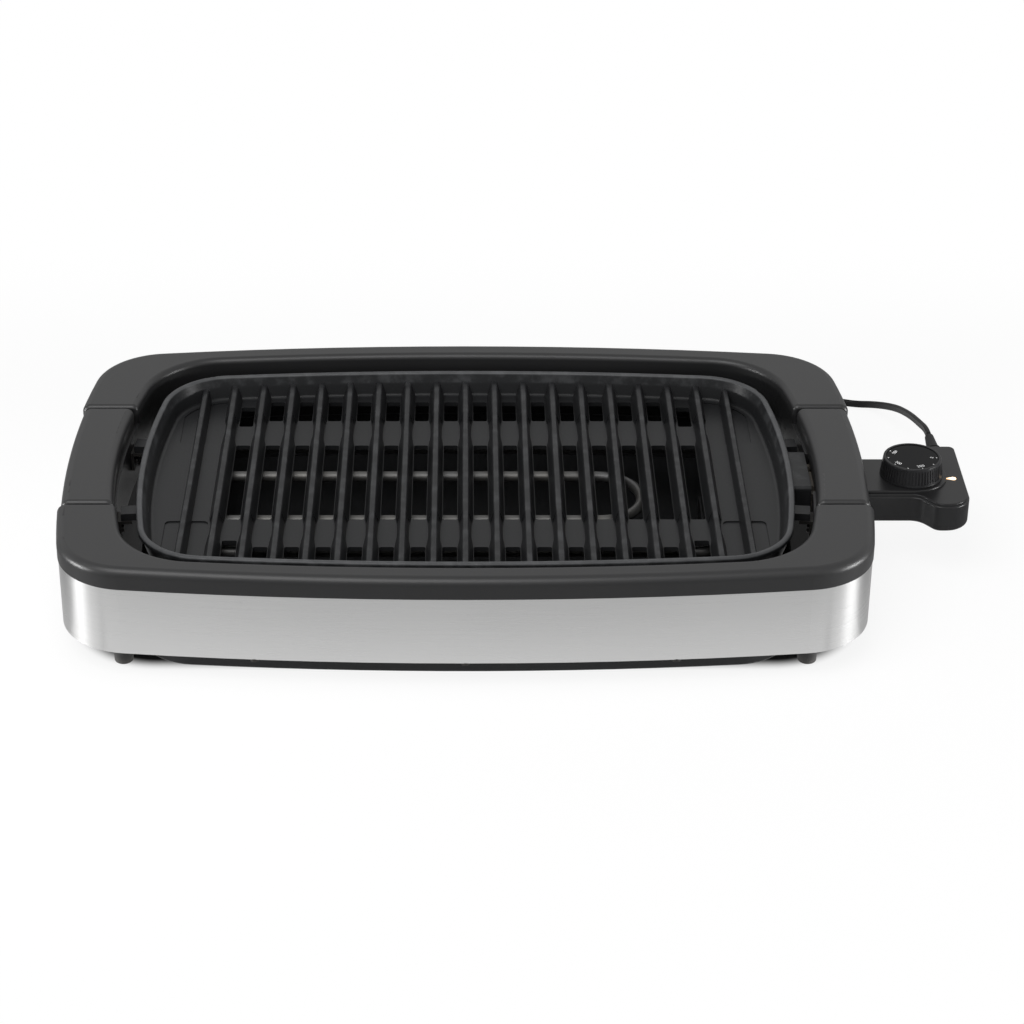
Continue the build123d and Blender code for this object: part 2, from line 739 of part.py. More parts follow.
def corner_recesses():
    """Shallow steps in the floor's corners, kept clear of the sloping walls."""
    length = PLATE_DEPTH / 2 - RECESS_START_Y
    outline = RectangleRounded(RECESS_OUT - RECESS_IN, length, RECESS_CORNER)
    low = PLATE_FLOOR - RECESS_DEPTH
    step = extrude(Pos(0, 0, low) * outline, amount=RECESS_DEPTH + 1)
    x = (RECESS_IN + RECESS_OUT) / 2
    y = RECESS_START_Y + length / 2
    steps = [Pos(side * x, sign * y, 0) * step for side in (1, -1) for sign in (1, -1)]
    return (Part() + steps) & PLATE.grown(-RECESS_INSET).prism(low, PLATE_RIM_TOP)


def clip_boss():
    """The cast boss on the plate's underside that a clip is screwed to."""
    half = CLIP_WIDTH / 2 + CLIP_BOSS_EDGE
    reach = ELEMENT_RADIUS + CLIP_THICK + CLIP_FOOT + CLIP_BOSS_EDGE
    return block((-half, -reach, CLIP_SEAT), (half, reach, PLATE_BOTTOM + 0.5))


def grill_plate():
    """Cast plate: lip, drafted walls, ribbed floor with slots, bosses, lugs, sensor channel."""
    lip = PLATE.prism(PLATE_RIM_TOP - PLATE_RIM_THICK, PLATE_RIM_TOP)
    lip = fillet(lip.edges().group_by(Axis.Z)[-1], radius=PLATE_RIM_THICK / 2)
    plate = lip + plate_shell() - plate_cavity()
    rim = plate.faces().sort_by(Axis.Z)[-1]
    plate = fillet(rim.inner_wires()[0].edges(), radius=PLATE_RIM_EDGE)
    plate -= corner_recesses()
    places = rib_positions()
    outermost = slim_rib()
    inner = rib()
    ribs = Part() + [Pos(x, 0, 0) * (outermost if x in (places[0], places[-1]) else inner)
                     for x in places]
    plate = plate + (ribs & rib_space())
    bosses = [place * clip_boss() for place in clip_places()]
    reach = OPENING_LENGTH / 2 - PLATE_LENGTH / 2 + PLATE_RIM_WIDTH + LUG_ROOT
    lug = block((-reach, -LUG_WIDTH / 2, BRACKET_TOP), (-LUG_GAP, LUG_WIDTH / 2, LUG_TOP))
    lugs = [place * lug for place in end_places(OPENING, BRACKET_Y)]
    channel = block((CHANNEL_IN, -CHANNEL_HALF_WIDTH, CHANNEL_BOTTOM),
                    (CHANNEL_OUT, CHANNEL_HALF_WIDTH, PLATE_BOTTOM))
    plate = plate + (bosses + lugs + [channel])
    cuts = slots()
    bore = ROD_RADIUS + CHANNEL_PLAY
    cuts.append(bar_x(bore, CHANNEL_IN - 1, CHANNEL_OUT + 1, z=AXIS_Z)
                + block((CHANNEL_IN - 1, -bore, CHANNEL_BOTTOM - 1), (CHANNEL_OUT + 1, bore, AXIS_Z)))
    cuts += [place * screw_hole(TINY_SCREW) for place in clip_screw_places() + shroud_screw_places()]
    return plate - cuts


def rib_space():
    """The cavity, reaching a little into floor and walls so that ribs fuse to them."""
    upper = PLATE.grown(-PLATE_RIM_WIDTH + 0.3)
    return loft([Pos(0, 0, PLATE_FLOOR - RIB_ROOT) * upper.grown(-PLATE_WALL_DRAFT).face(),
                 Pos(0, 0, PLATE_RIM_TOP) * upper.face()], ruled=True)


def heating_element():
    """One tube from terminal to terminal: two hairpins on the left, one on the right."""
    half = [
        (ELEMENT_END_X, PIN_Y, AXIS_Z),
        (ELEMENT_NECK_X, PIN_Y, AXIS_Z),
        (ELEMENT_SHOULDER_X, ELEMENT_OUTER_Y, ELEMENT_Z),
        (ELEMENT_LEFT, ELEMENT_OUTER_Y, ELEMENT_Z),
        (ELEMENT_LEFT, ELEMENT_INNER_Y, ELEMENT_Z),
        (ELEMENT_TURN_X, ELEMENT_INNER_Y, ELEMENT_Z),
    ]
    points = half + [(x, -y, z) for x, y, z in reversed(half)]
    hairpin = (ELEMENT_OUTER_Y - ELEMENT_INNER_Y) / 2 - HAIRPIN_PLAY
    turn = ELEMENT_INNER_Y - HAIRPIN_PLAY
    radii = [ELEMENT_BEND, ELEMENT_BEND, hairpin, hairpin, turn]
    path = FilletPolyline(*points, radius=radii + list(reversed(radii)))
    section = Plane(origin=path @ 0, z_dir=path % 0) * Circle(ELEMENT_RADIUS)
    return sweep(section, path=path)


def clip_places():
    """Middle of each clip along the element's long runs."""
    step = 6 * RIB_PITCH
    outer = [Pos(x, sign * ELEMENT_OUTER_Y, 0) for x in (-step, 0.0, step) for sign in (1, -1)]
    inner_step = 3 * RIB_PITCH
    inner = [Pos(x, sign * ELEMENT_INNER_Y, 0) for x in (-inner_step, inner_step)
             for sign in (1, -1)]
    return outer + inner


def clip_screw_places():
    reach = ELEMENT_RADIUS + CLIP_THICK + CLIP_FOOT / 2
    seat = CLIP_SEAT - CLIP_THICK
    return [place * Pos(0, sign * reach, seat) for place in clip_places() for sign in (1, -1)]


def element_clips():
    """Saddle clips that hold the element under the plate's bosses."""
    inner = ELEMENT_RADIUS + CLIP_PLAY
    outer = inner + CLIP_THICK
    z = ELEMENT_Z
    half = CLIP_WIDTH / 2
    reach = ELEMENT_RADIUS + CLIP_THICK + CLIP_FOOT
    saddle = bar_x(outer, -half, half, z=z) + block((-half, -outer, z), (half, outer, CLIP_SEAT))
    saddle += block((-half, -reach, CLIP_SEAT - CLIP_THICK), (half, reach, CLIP_SEAT))
    saddle -= bar_x(inner, -FAR, FAR, z=z)
    saddle -= block((-FAR, -inner, z), (FAR, inner, CLIP_SEAT))
    saddle -= block((-FAR, -FAR, CLIP_SEAT), (FAR, FAR, FRAME_TOP))
    for sign in (1, -1):
        hole = ELEMENT_RADIUS + CLIP_THICK + CLIP_FOOT / 2
        saddle -= Pos(0, sign * hole, CLIP_SEAT - CLIP_THICK) * screw_hole(TINY_SCREW)
    return [place * saddle for place in clip_places()]


def clip_screws():
    return [place * screw(TINY_SCREW) for place in clip_screw_places()]


def terminal_pins():
    """Two pins that carry on from the element's ends into the control's contacts."""
    start = ELEMENT_END_X
    pins = []
    for sign in (1, -1):
        pin = bar_x(PIN_RADIUS, start, PIN_END_X, y=sign * PIN_Y, z=AXIS_Z)
        pins.append(chamfer(pin.edges().group_by(Axis.X)[-1], length=0.8))
    return pins


def terminal_insulators():
    """Ceramic beads where the pins pass through the shroud's end plate."""
    beads = []
    start = SHROUD_IN - 1.5
    for sign in (1, -1):
        bead = bar_x(INSULATOR_RADIUS, start, start + INSULATOR_LENGTH, y=sign * PIN_Y, z=AXIS_Z)
        hole = bar_x(PIN_RADIUS + SCREW_PLAY, start - 1, SHROUD_OUT, y=sign * PIN_Y, z=AXIS_Z)
        beads.append(bead - hole)
    return [bead - plate_shell() for bead in beads]


def shroud_screw_places():
    x = SHROUD_IN - SHROUD_FOOT / 2
    y = SHROUD_HALF_WIDTH - SHROUD_FOOT_WIDTH / 2
    return [Pos(x, sign * y, PLATE_BOTTOM - SHROUD_SHEET) for sign in (1, -1)]


def socket_shroud():
    """Sheet cover round the terminals: open below and towards the control."""
    half = SHROUD_HALF_WIDTH
    sheet = SHROUD_SHEET
    cover = block((SHROUD_IN, -half, SHROUD_BOTTOM), (SHROUD_OUT, half, SHROUD_TOP))
    cover = fillet(cover.edges().filter_by(Axis.X).group_by(Axis.Z)[-1], radius=2.5)
    cover -= block((SHROUD_IN + sheet, -half + sheet, 0), (FAR, half - sheet, SHROUD_TOP - sheet))
    cover -= plate_shell(0.2)
    cover -= PLATE.grown(0.2).prism(PLATE_RIM_TOP - PLATE_RIM_THICK - 0.2, PLATE_RIM_TOP)
    for sign in (1, -1):
        y = sorted((sign * half, sign * (half - SHROUD_FOOT_WIDTH)))
        cover += block((SHROUD_IN - SHROUD_FOOT, y[0], PLATE_BOTTOM - sheet),
                       (SHROUD_IN + sheet, y[1], PLATE_BOTTOM))
        cover -= bar_x(INSULATOR_RADIUS + SCREW_PLAY, SHROUD_IN - 1, SHROUD_IN + sheet + 1,
                       y=sign * PIN_Y, z=AXIS_Z)
    slit = ROD_RADIUS + 1.5
    cover -= block((SHROUD_IN - 1, -slit, 0), (SHROUD_IN + sheet + 1, slit, AXIS_Z + slit))
    for place in shroud_screw_places():
        cover -= place * screw_hole(TINY_SCREW)
    return cover


def shroud_screws():
    return [place * screw(TINY_SCREW) for place in shroud_screw_places()]


def drip_tray():
    """Sheet pan with four hanging tabs, and a bay at its right end for the sensor."""
    outer = TRAY.prism(TRAY_BOTTOM, TRAY_TOP)
    inner = TRAY.grown(-TRAY_SHEET).prism(TRAY_BOTTOM + TRAY_SHEET, TRAY_TOP + 1)
    half = TRAY_NOTCH_HALF
    bay = block((TRAY_NOTCH_X, -half, 0), (FAR, half, TRAY_TOP + 1))
    bay_skin = block((TRAY_NOTCH_X - TRAY_SHEET, -half - TRAY_SHEET, 0),
                     (FAR, half + TRAY_SHEET, TRAY_TOP + 1))
    pan = outer - bay
    pan = fillet(pan.edges().group_by(Axis.Z)[0], radius=TRAY_EDGE)
    pan -= inner - bay_skin
    for place in end_places(OPENING, LEDGE_Y):
        reach = OPENING_LENGTH / 2 - TRAY_LENGTH / 2 + TRAY_SHEET
        tab = block((-reach - 1.2, -TRAY_TAB_WIDTH / 2, LEDGE_TOP),
                    (-TRAY_TAB_GAP, TRAY_TAB_WIDTH / 2, TRAY_TOP))
        pan += (place * tab) - TRAY.grown(-TRAY_SHEET / 2).prism(0, FRAME_TOP)
    return pan


def control_outline(grow):
    """Plan of the control: a neck towards the base and a wider head."""
    front = NECK_FRONT - grow
    back = NECK_BACK + grow
    slant = HEAD_FRONT_SLANT
    points = [
        (NECK_IN, front),
        (HEAD_FRONT_LEFT - grow - slant, front),
        (HEAD_FRONT_LEFT - grow + slant, HEAD_FRONT - grow),
        (CONTROL_END + grow, HEAD_FRONT - grow),
        (CONTROL_END + grow, HEAD_BACK + grow),
        (HEAD_BACK_LEFT - grow, HEAD_BACK + grow),
        (HEAD_BACK_LEFT - grow, back),
        (NECK_IN, back),
    ]
    outline = make_face(Polyline(*points, close=True))
    radii = [1.0, 11.0 - grow, 8.0 + grow, HEAD_LARGE_CORNER + grow, HEAD_SMALL_CORNER + grow,
             HEAD_SMALL_CORNER + grow, HEAD_SMALL_CORNER - grow, 1.0]
    for point, radius in zip(points, radii):
        vertex = outline.vertices().sort_by_distance(point)[0]
        outline = fillet(vertex, radius=radius)
    return outline


def control_prism(grow, low, high):
    return extrude(Pos(0, 0, low) * control_outline(grow), amount=high - low)


def control_lower_shell():
    """The control's lower half with posts for the lid's screws."""
    shell = control_prism(0, CONTROL_BOTTOM, CONTROL_SPLIT)
    shell = fillet(shell.edges().group_by(Axis.Z)[0], radius=CONTROL_BOTTOM_EDGE)
    shell = fillet(shell.edges().group_by(Axis.Z)[-1], radius=CONTROL_TOP_EDGE)
    floor = CONTROL_BOTTOM + CONTROL_WALL
    shell -= control_prism(-CONTROL_WALL, floor, CONTROL_SPLIT + 1)
    for place in lid_screw_places():
        x, y = place.position.X, place.position.Y
        shell += rod(3.4, floor - 0.5, CONTROL_SPLIT - LID_LIP - 0.3, x, y)
        shell -= rod(LID_SCREW[0] + 0.3, CONTROL_BOTTOM - 1, lid_screw_seat(), x, y)
        shell -= rod(LID_SCREW[2] + SCREW_PLAY, CONTROL_BOTTOM, CONTROL_SPLIT, x, y)
    mouth = CARRIER_HALF_WIDTH + CARRIER_PLAY
    shell -= block((NECK_IN - 1, -mouth + 0.2, floor), (NECK_IN + 4, mouth - 0.2, CONTROL_SPLIT + 1))
    return shell - bar_y(RELIEF_NECK_RADIUS + SCREW_PLAY, HEAD_BACK - 6, HEAD_BACK + 1, RELIEF_X,
                         RELIEF_Z)


LID_SCREW = (2.4, 1.3, 1.1, 16.4)


def lid_screw_seat():
    return CONTROL_BOTTOM + CONTROL_WALL


def lid_screw_places():
    """Three screws up through the lower shell into the lid's bosses."""
    return [Pos(253.0, 8.2, 0), Pos(300.0, 31.5, 0), Pos(313.0, -28.0, 0)]


def lid_screws():
    return [place * Pos(0, 0, lid_screw_seat()) * screw(LID_SCREW) for place in lid_screw_places()]


def lens_outline(grow):
    """Teardrop plan of the pilot light, round end to the right, point to the left."""
    radius = LENS_RADIUS + grow
    tip = LENS_LENGTH - LENS_RADIUS + grow
    drop = make_face(Polyline((-tip, 0), (0, -radius), (0, radius), close=True))
    return Pos(LENS_X, LENS_Y, 0) * (drop + Circle(radius))


def lid_tier():
    """The raised part of the lid: a strip along the neck that ends in a round boss."""
    radius = -(NECK_FRONT + LID_TOP_STEP)
    back = NECK_BACK - LID_TOP_STEP
    meet = KNOB_X - math.sqrt(radius ** 2 - back ** 2)
    outline = make_face([
        Line((NECK_IN, -radius), (KNOB_X, -radius)),
        ThreePointArc((KNOB_X, -radius), (KNOB_X + radius, 0), (meet, back)),
        Line((meet, back), (NECK_IN, back)),
        Line((NECK_IN, back), (NECK_IN, -radius)),
    ])
    tier = extrude(Pos(0, 0, CONTROL_SPLIT) * outline, amount=CONTROL_TOP - CONTROL_SPLIT)
    return fillet(tier.edges().group_by(Axis.Z)[-1], radius=LID_EDGE)


def control_upper_shell():
    """The control's lid, with its raised part and a lip that drops into the lower shell."""
    lid = control_prism(-LID_STEP, CONTROL_SPLIT, HEAD_TOP)
    lid = fillet(lid.edges().group_by(Axis.Z)[-1], radius=LID_EDGE)
    lid += lid_tier()
    lip = control_prism(-CONTROL_WALL - LIP_PLAY, CONTROL_SPLIT - LID_LIP, CONTROL_SPLIT)
    lip -= block((NECK_IN - 1, -FAR, 0), (CARRIER_OUT + 1, FAR, CONTROL_SPLIT))
    lid += lip
    lid -= control_prism(-2 * CONTROL_WALL, CONTROL_SPLIT - LID_LIP - 1, CONTROL_SPLIT)
    lid -= block((NECK_IN + 4, NECK_FRONT + 2 * CONTROL_WALL + 1, CONTROL_SPLIT - 1),
                 (KNOB_X - 8, NECK_BACK - 2 * CONTROL_WALL, CONTROL_TOP - CONTROL_WALL))
    for place in lid_screw_places():
        x, y = place.position.X, place.position.Y
        lid += rod(3.4, CONTROL_SPLIT - LID_LIP, HEAD_TOP - 0.8, x, y)
        lid -= rod(LID_SCREW[2] + SCREW_PLAY, 0, lid_screw_seat() + LID_SCREW[3] + 0.3, x, y)
    lid -= rod(SHAFT_RADIUS + 0.5, 0, FRAME_TOP, KNOB_X, 0)
    lid -= extrude(Pos(0, 0, CONTROL_SPLIT - 1) * lens_outline(SCREW_PLAY), amount=FRAME_TOP)
    ledge = HEAD_TOP - LENS_SHOULDER
    return lid - extrude(Pos(0, 0, 0) * lens_outline(0.8), amount=ledge)


def indicator_lens():
    """Amber lens set in from below, with a shoulder under the lid."""
    lens = extrude(Pos(0, 0, HEAD_TOP - 2.0) * lens_outline(0), amount=2.0 + LENS_PROUD)
    top = HEAD_TOP - LENS_SHOULDER
    return lens + extrude(Pos(0, 0, top - 1.2) * lens_outline(0.7), amount=1.2)


def indicator_lamp():
    """Small glow lamp on its two legs, under the lens."""
    top = HEAD_TOP - 2.6
    bulb = rod(LAMP_RADIUS, LAMP_BOTTOM, top, LENS_X - 1.5, LENS_Y)
    bulb = fillet(bulb.edges().group_by(Axis.Z)[-1], radius=LAMP_RADIUS - 0.3)
    floor = CONTROL_BOTTOM + CONTROL_WALL
    for sign in (1, -1):
        bulb += rod(0.4, floor, LAMP_BOTTOM + 0.5, LENS_X - 1.5, LENS_Y + sign * 0.9)
    return bulb


def contact_carrier():
    """Heat-proof block that holds the contacts and guides the sensor."""
    half = CARRIER_HALF_WIDTH
    floor = CONTROL_BOTTOM + CONTROL_WALL
    carrier = block((CARRIER_IN, -half, floor), (CARRIER_OUT, half, CARRIER_TOP))
    carrier = chamfer(carrier.edges().filter_by(Axis.Z).group_by(Axis.X)[0], length=2.0)
    slot_half = PIN_RADIUS + FORK_PLAY + FORK_SHEET + SCREW_PLAY
    for sign in (1, -1):
        y = sign * PIN_Y
        carrier -= block((CARRIER_IN - 1, y - slot_half, fork_floor()),
                         (FORK_OUT + 0.1, y + slot_half, CARRIER_TOP + 1))
        carrier -= bar_x(LEAD_RADIUS + 0.2, FORK_OUT - 1, CARRIER_OUT + 1, y=y, z=AXIS_Z)
    return carrier - bar_x(ROD_RADIUS + SCREW_PLAY, CARRIER_IN - 1, CARRIER_OUT + 1, z=AXIS_Z)


def fork_floor():
    return AXIS_Z - PIN_RADIUS - FORK_FLOOR_GAP - FORK_SHEET


def contact_forks():
    """Two spring channels, open upwards and towards the plate, that grip the pins."""
    forks = []
    inner = PIN_RADIUS + FORK_PLAY
    outer = inner + FORK_SHEET
    for sign in (1, -1):
        y = sign * PIN_Y
        fork = block((CARRIER_IN + 1, y - outer, fork_floor()), (FORK_OUT, y + outer, FORK_TOP))
        fork -= block((0, y - inner, fork_floor() + FORK_SHEET),
                      (FORK_OUT - FORK_SHEET, y + inner, FORK_TOP + 1))
        forks.append(fork)
    return forks


def sensor_rod():
    """The thermostat's sensor tube, with a rounded tip under the plate."""
    tube = bar_x(ROD_RADIUS, ROD_TIP_X, ROD_END_X, z=AXIS_Z)
    return fillet(tube.edges().group_by(Axis.X)[0], radius=ROD_RADIUS - 0.4)


def thermostat_bracket():
    """Steel angle that holds the sensor's end and bears the knob's shaft."""
    floor = CONTROL_BOTTOM + CONTROL_WALL
    half = BRACKET_PLATE_HALF
    upright = block((BRACKET_PLATE_X, -half, floor), (BRACKET_PLATE_X + BRACKET_PLATE, half,
                                                      BRACKET_PLATE_TOP))
    roof = block((BRACKET_PLATE_X, -half, BRACKET_PLATE_TOP - BRACKET_PLATE),
                 (KNOB_X + 10, half, BRACKET_PLATE_TOP))
    leg = block((KNOB_X + 10 - BRACKET_PLATE, -half, floor), (KNOB_X + 10, half, BRACKET_PLATE_TOP))
    bracket = upright + roof + leg
    bracket -= bar_x(ROD_RADIUS + SCREW_PLAY, BRACKET_PLATE_X - 1, ROD_END_X + 1, z=AXIS_Z)
    return bracket - rod(SHAFT_RADIUS + SHAFT_PLAY, AXIS_Z, FRAME_TOP, KNOB_X, 0)


def thermostat_stack():
    """Ceramic spacers of the switch, on the floor of the lower shell beside the bracket."""
    floor = CONTROL_BOTTOM + CONTROL_WALL
    rings = []
    for index in range(3):
        low = floor + index * (SPACER_HEIGHT + BLADE_THICK)
        rings.append(rod(STACK_RADIUS, low, low + SPACER_HEIGHT, STACK_X, STACK_Y))
    pin = rod(1.2, floor, rings_top(), STACK_X, STACK_Y)
    stack = rings[0] + rings[1] + rings[2] + pin
    return stack


def rings_top():
    return CONTROL_BOTTOM + CONTROL_WALL + 3 * SPACER_HEIGHT + 2 * BLADE_THICK


def contact_blades():
    """Two spring blades between the spacers, one over the other."""
    blades = []
    for index in range(2):
        low = CONTROL_BOTTOM + CONTROL_WALL + (index + 1) * SPACER_HEIGHT + index * BLADE_THICK
        blade = block((STACK_X - 3.5, STACK_Y - BLADE_WIDTH / 2, low),
                      (STACK_X - 3.5 + BLADE_LENGTH, STACK_Y + BLADE_WIDTH / 2, low + BLADE_THICK))
        blades.append(blade - rod(1.2 + SCREW_PLAY, 0, FRAME_TOP, STACK_X, STACK_Y))
    return blades


def contact_leads():
    """Two insulated leads from the contacts round to the strain relief."""
    near = [(FORK_OUT, PIN_Y, AXIS_Z), (CARRIER_OUT + 4, PIN_Y, AXIS_Z), (264.0, 15.5, AXIS_Z),
            (282.0, 17.5, AXIS_Z), (298.0, 22.5, 51.0), (310.0, 25.0, 52.0),
            (RELIEF_X - 2, 29.0, RELIEF_Z), (RELIEF_X - 2, relief_inner_face(), RELIEF_Z)]
    far = [(FORK_OUT, -PIN_Y, AXIS_Z), (CARRIER_OUT + 4, -PIN_Y, AXIS_Z), (266.0, -15.5, AXIS_Z),
           (288.0, -17.0, AXIS_Z), (305.0, -15.0, AXIS_Z), (311.0, -2.0, 50.5),
           (313.0, 12.0, 51.5), (RELIEF_X + 1, 22.0, 52.5), (RELIEF_X + 2, 29.5, RELIEF_Z),
           (RELIEF_X + 2, relief_inner_face(), RELIEF_Z)]
    return [tube(near, 2 * LEAD_RADIUS), tube(far, 2 * LEAD_RADIUS)]


def knob_shaft():
    """The thermostat's setting shaft with its collar and flat."""
    shaft = rod(SHAFT_RADIUS, SHAFT_BOTTOM, KNOB_TOP - KNOB_ROOF - 0.6, KNOB_X, 0)
    collar_low = BRACKET_PLATE_TOP + 0.1
    shaft += rod(SHAFT_RADIUS + 1.2, collar_low, collar_low + 1.2, KNOB_X, 0)
    flat = block((KNOB_X + SHAFT_RADIUS - 0.8, -4, CONTROL_TOP + 1), (KNOB_X + 5, 4, KNOB_TOP))
    return shaft - flat


def control_knob():
    """Hollow knob: tapered skirt with fine grips, roof recessed for the dial, inner socket."""
    low = CONTROL_TOP + KNOB_GAP
    height = KNOB_TOP - low
    blank = Pos(0, 0, low + height / 2) * Cone(KNOB_RADIUS, KNOB_TOP_RADIUS, height)
    lean = math.degrees(math.atan((KNOB_RADIUS - KNOB_TOP_RADIUS) / height))
    groove = Box(2 * GRIP_DEPTH, GRIP_WIDTH, height - 3.5)
    middle = (KNOB_RADIUS + KNOB_TOP_RADIUS) / 2
    grooves = [Rot(0, 0, index * 360 / GRIP_COUNT) * Pos(middle, 0, low + height / 2)
               * Rot(0, -lean, 0) * Rot(45, 0, 0).inverse() * Rot(45, 0, 0) * groove
               for index in range(GRIP_COUNT)]
    knob = fillet(blank.edges().group_by(Axis.Z)[-1], radius=KNOB_EDGE)
    knob = knob - grooves
    inside = Cone(KNOB_RADIUS - KNOB_WALL, KNOB_TOP_RADIUS - KNOB_WALL, height)
    hollow = Pos(0, 0, low + height / 2 - KNOB_ROOF) * inside
    knob -= hollow
    knob += rod(SOCKET_RADIUS, low + 1, KNOB_TOP - KNOB_ROOF)
    knob -= rod(SHAFT_RADIUS + SCREW_PLAY, low - 1, KNOB_TOP - KNOB_ROOF - 0.5)
    knob += block((SHAFT_RADIUS - 0.7, -2.5, low + 2), (SHAFT_RADIUS + 1, 2.5, KNOB_TOP - KNOB_ROOF))
    knob -= rod(DIAL_RADIUS + DIAL_PLAY, KNOB_TOP - DIAL_RECESS - DIAL_THICK, KNOB_TOP + 1)
    return Pos(KNOB_X, 0, 0) * knob


def dial_disc():
    """Glossy disc set into the knob's roof."""
    low = KNOB_TOP - DIAL_RECESS - DIAL_THICK
    disc = rod(DIAL_RADIUS, low, low + DIAL_THICK, KNOB_X, 0)
    return fillet(disc.edges().group_by(Axis.Z)[-1], radius=0.25)


def tube(points, thickness):
    """A round tube along straight runs joined by the largest tangent arcs that fit."""
    radii = corner_radii(points)
    path = FilletPolyline(*points, radius=radii)
    section = Plane(origin=path @ 0, z_dir=path % 0) * Circle(thickness / 2)
    return sweep(section, path=path)


def corner_radii(points):
    """For each corner, 0.45 of the shorter run over the tangent of half the turn."""
    radii = []
    for before, here, after in zip(points, points[1:], points[2:]):
        run_in = Vector(*here) - Vector(*before)
        run_out = Vector(*after) - Vector(*here)
        turn = math.radians(run_in.get_angle(run_out))
        radii.append(0.45 * min(run_in.length, run_out.length) / math.tan(turn / 2))
    return radii


def relief_inner_face():
    return HEAD_BACK - CONTROL_WALL - RELIEF_FLANGE


def strain_relief():
    """Rubber sleeve on the head's back edge: a neck through the wall, rings, then a taper."""
    step = RELIEF_RING_WIDTH + RELIEF_GROOVE
    taper_start = HEAD_BACK + RELIEF_RINGS * step
    sleeve = bar_y(RELIEF_ROOT_RADIUS, relief_inner_face(), taper_start, RELIEF_X, RELIEF_Z)
    sleeve += bar_y(RELIEF_NECK_RADIUS, relief_inner_face(), HEAD_BACK, RELIEF_X, RELIEF_Z)
    for index in range(RELIEF_RINGS):
        start = HEAD_BACK + index * step
        radius = RELIEF_RING_RADIUS - index * RELIEF_RING_STEP
        ring = bar_y(radius, start, start + RELIEF_RING_WIDTH, RELIEF_X, RELIEF_Z)
        sleeve += fillet(ring.edges().group_by(Axis.Y)[-1], radius=RELIEF_RING_WIDTH * 0.4)
    taper = Cone(RELIEF_ROOT_RADIUS, RELIEF_TIP_RADIUS, RELIEF_TAPER)
    middle = taper_start + RELIEF_TAPER / 2
    return sleeve + Pos(RELIEF_X, middle, RELIEF_Z) * Rot(-90, 0, 0) * taper


def cord_stretch():
    """The cord from the strain relief down to the table and round to the coil."""
    return tube(CORD_ROUTE, CORD)


def coil_point(turns):
    """Centre line of the coil: inwards on the table, up a layer, outwards on top."""
    climb_start = COIL_INWARD_TURNS
    climb_end = COIL_INWARD_TURNS + COIL_CLIMB_TURNS
    inner_radius = COIL_RADIUS - COIL_PITCH * COIL_INWARD_TURNS
    if turns <= climb_start:
        radius = COIL_RADIUS - COIL_PITCH * turns
        rise = 0.0
    elif turns <= climb_end:
        share = (turns - climb_start) / COIL_CLIMB_TURNS
        radius = inner_radius - 0.7 * math.sin(math.pi * share)
        rise = COIL_LAYER * (1 - math.cos(math.pi * share)) / 2
    else:
        share = (turns - climb_end) / COIL_OUTWARD_TURNS
        radius = inner_radius + (COIL_RADIUS - inner_radius) * share
        rise = COIL_LAYER
    angle = math.radians(COIL_START_ANGLE) + 2 * math.pi * turns
    return Vector(COIL_X + radius * math.cos(angle), COIL_Y + radius * math.sin(angle), TABLE_Z + rise)


def coil_direction(turns):
    total = COIL_INWARD_TURNS + COIL_CLIMB_TURNS + COIL_OUTWARD_TURNS
    if turns < 1e-9 or turns > total - 1e-9:
        return Vector(-1, 0, 0)
    step = 0.002
    return (coil_point(turns + step) - coil_point(turns - step)).normalized()


def biarc(start, leave, end, arrive):
    """Two tangent arcs from start to end with the given directions."""
    gap = end - start
    both = leave + arrive
    spread = 2 * (1 - leave.dot(arrive))
    reach = (-gap.dot(both) + math.sqrt(gap.dot(both) ** 2 + spread * gap.dot(gap))) / spread
    middle = (start + end + (leave - arrive) * reach) * 0.5
    turn = (middle - (start + leave * reach)).normalized()
    return [TangentArc(start, middle, tangent=leave), TangentArc(middle, end, tangent=turn)]


def cord_coil():
    """The put-away length of cord, wound in two layers, as one unbroken tube."""
    total = COIL_INWARD_TURNS + COIL_CLIMB_TURNS + COIL_OUTWARD_TURNS
    count = round(4 * total)
    stations = [total * index / count for index in range(count + 1)]
    along = Vector(CORD, 0, 0)
    pieces = [Line(coil_point(0) + along, coil_point(0))]
    for first, last in zip(stations, stations[1:]):
        pieces += biarc(coil_point(first), coil_direction(first), coil_point(last),
                        coil_direction(last))
    pieces.append(Line(coil_point(total), coil_point(total) - along))
    path = Wire(pieces)
    section = Plane(origin=path @ 0, z_dir=path % 0) * Circle(CORD / 2)
    print("coil length", round(path.length, 1), "least gap", round(coil_gap(total), 2))
    return sweep(section, path=path)


def coil_gap(total):
    """Least distance between stretches of the coil that are not neighbours."""
    points = [coil_point(total * index / 400) for index in range(401)]
    apart = round(400 * 0.5 / total)
    least = min((points[first] - points[second]).length
                for first in range(401) for second in range(first + apart, 401))
    return least - CORD


def cord_end():
    """The short tail from the coil to the plug."""
    return tube(TAIL_ROUTE, CORD)


def plug_body():
    """Moulded two-pin plug with a tapered neck."""
    z = PLUG_THICK / 2
    grip = block((PLUG_FACE_X - PLUG_LENGTH, COIL_BACK_Y - PLUG_WIDTH / 2, 0),
                 (PLUG_FACE_X, COIL_BACK_Y + PLUG_WIDTH / 2, PLUG_THICK))
    grip = fillet(grip.edges().filter_by(Axis.Z), radius=5.0)
    grip = fillet(grip.edges().group_by(Axis.Z)[-1], radius=2.0)
    grip = fillet(grip.edges().group_by(Axis.Z)[0], radius=2.0)
    neck = Cone(PLUG_NECK_RADIUS, CORD / 2 + 0.6, PLUG_NECK)
    return grip + Pos(PLUG_FACE_X + PLUG_NECK / 2, COIL_BACK_Y, z) * Rot(0, 90, 0) * neck


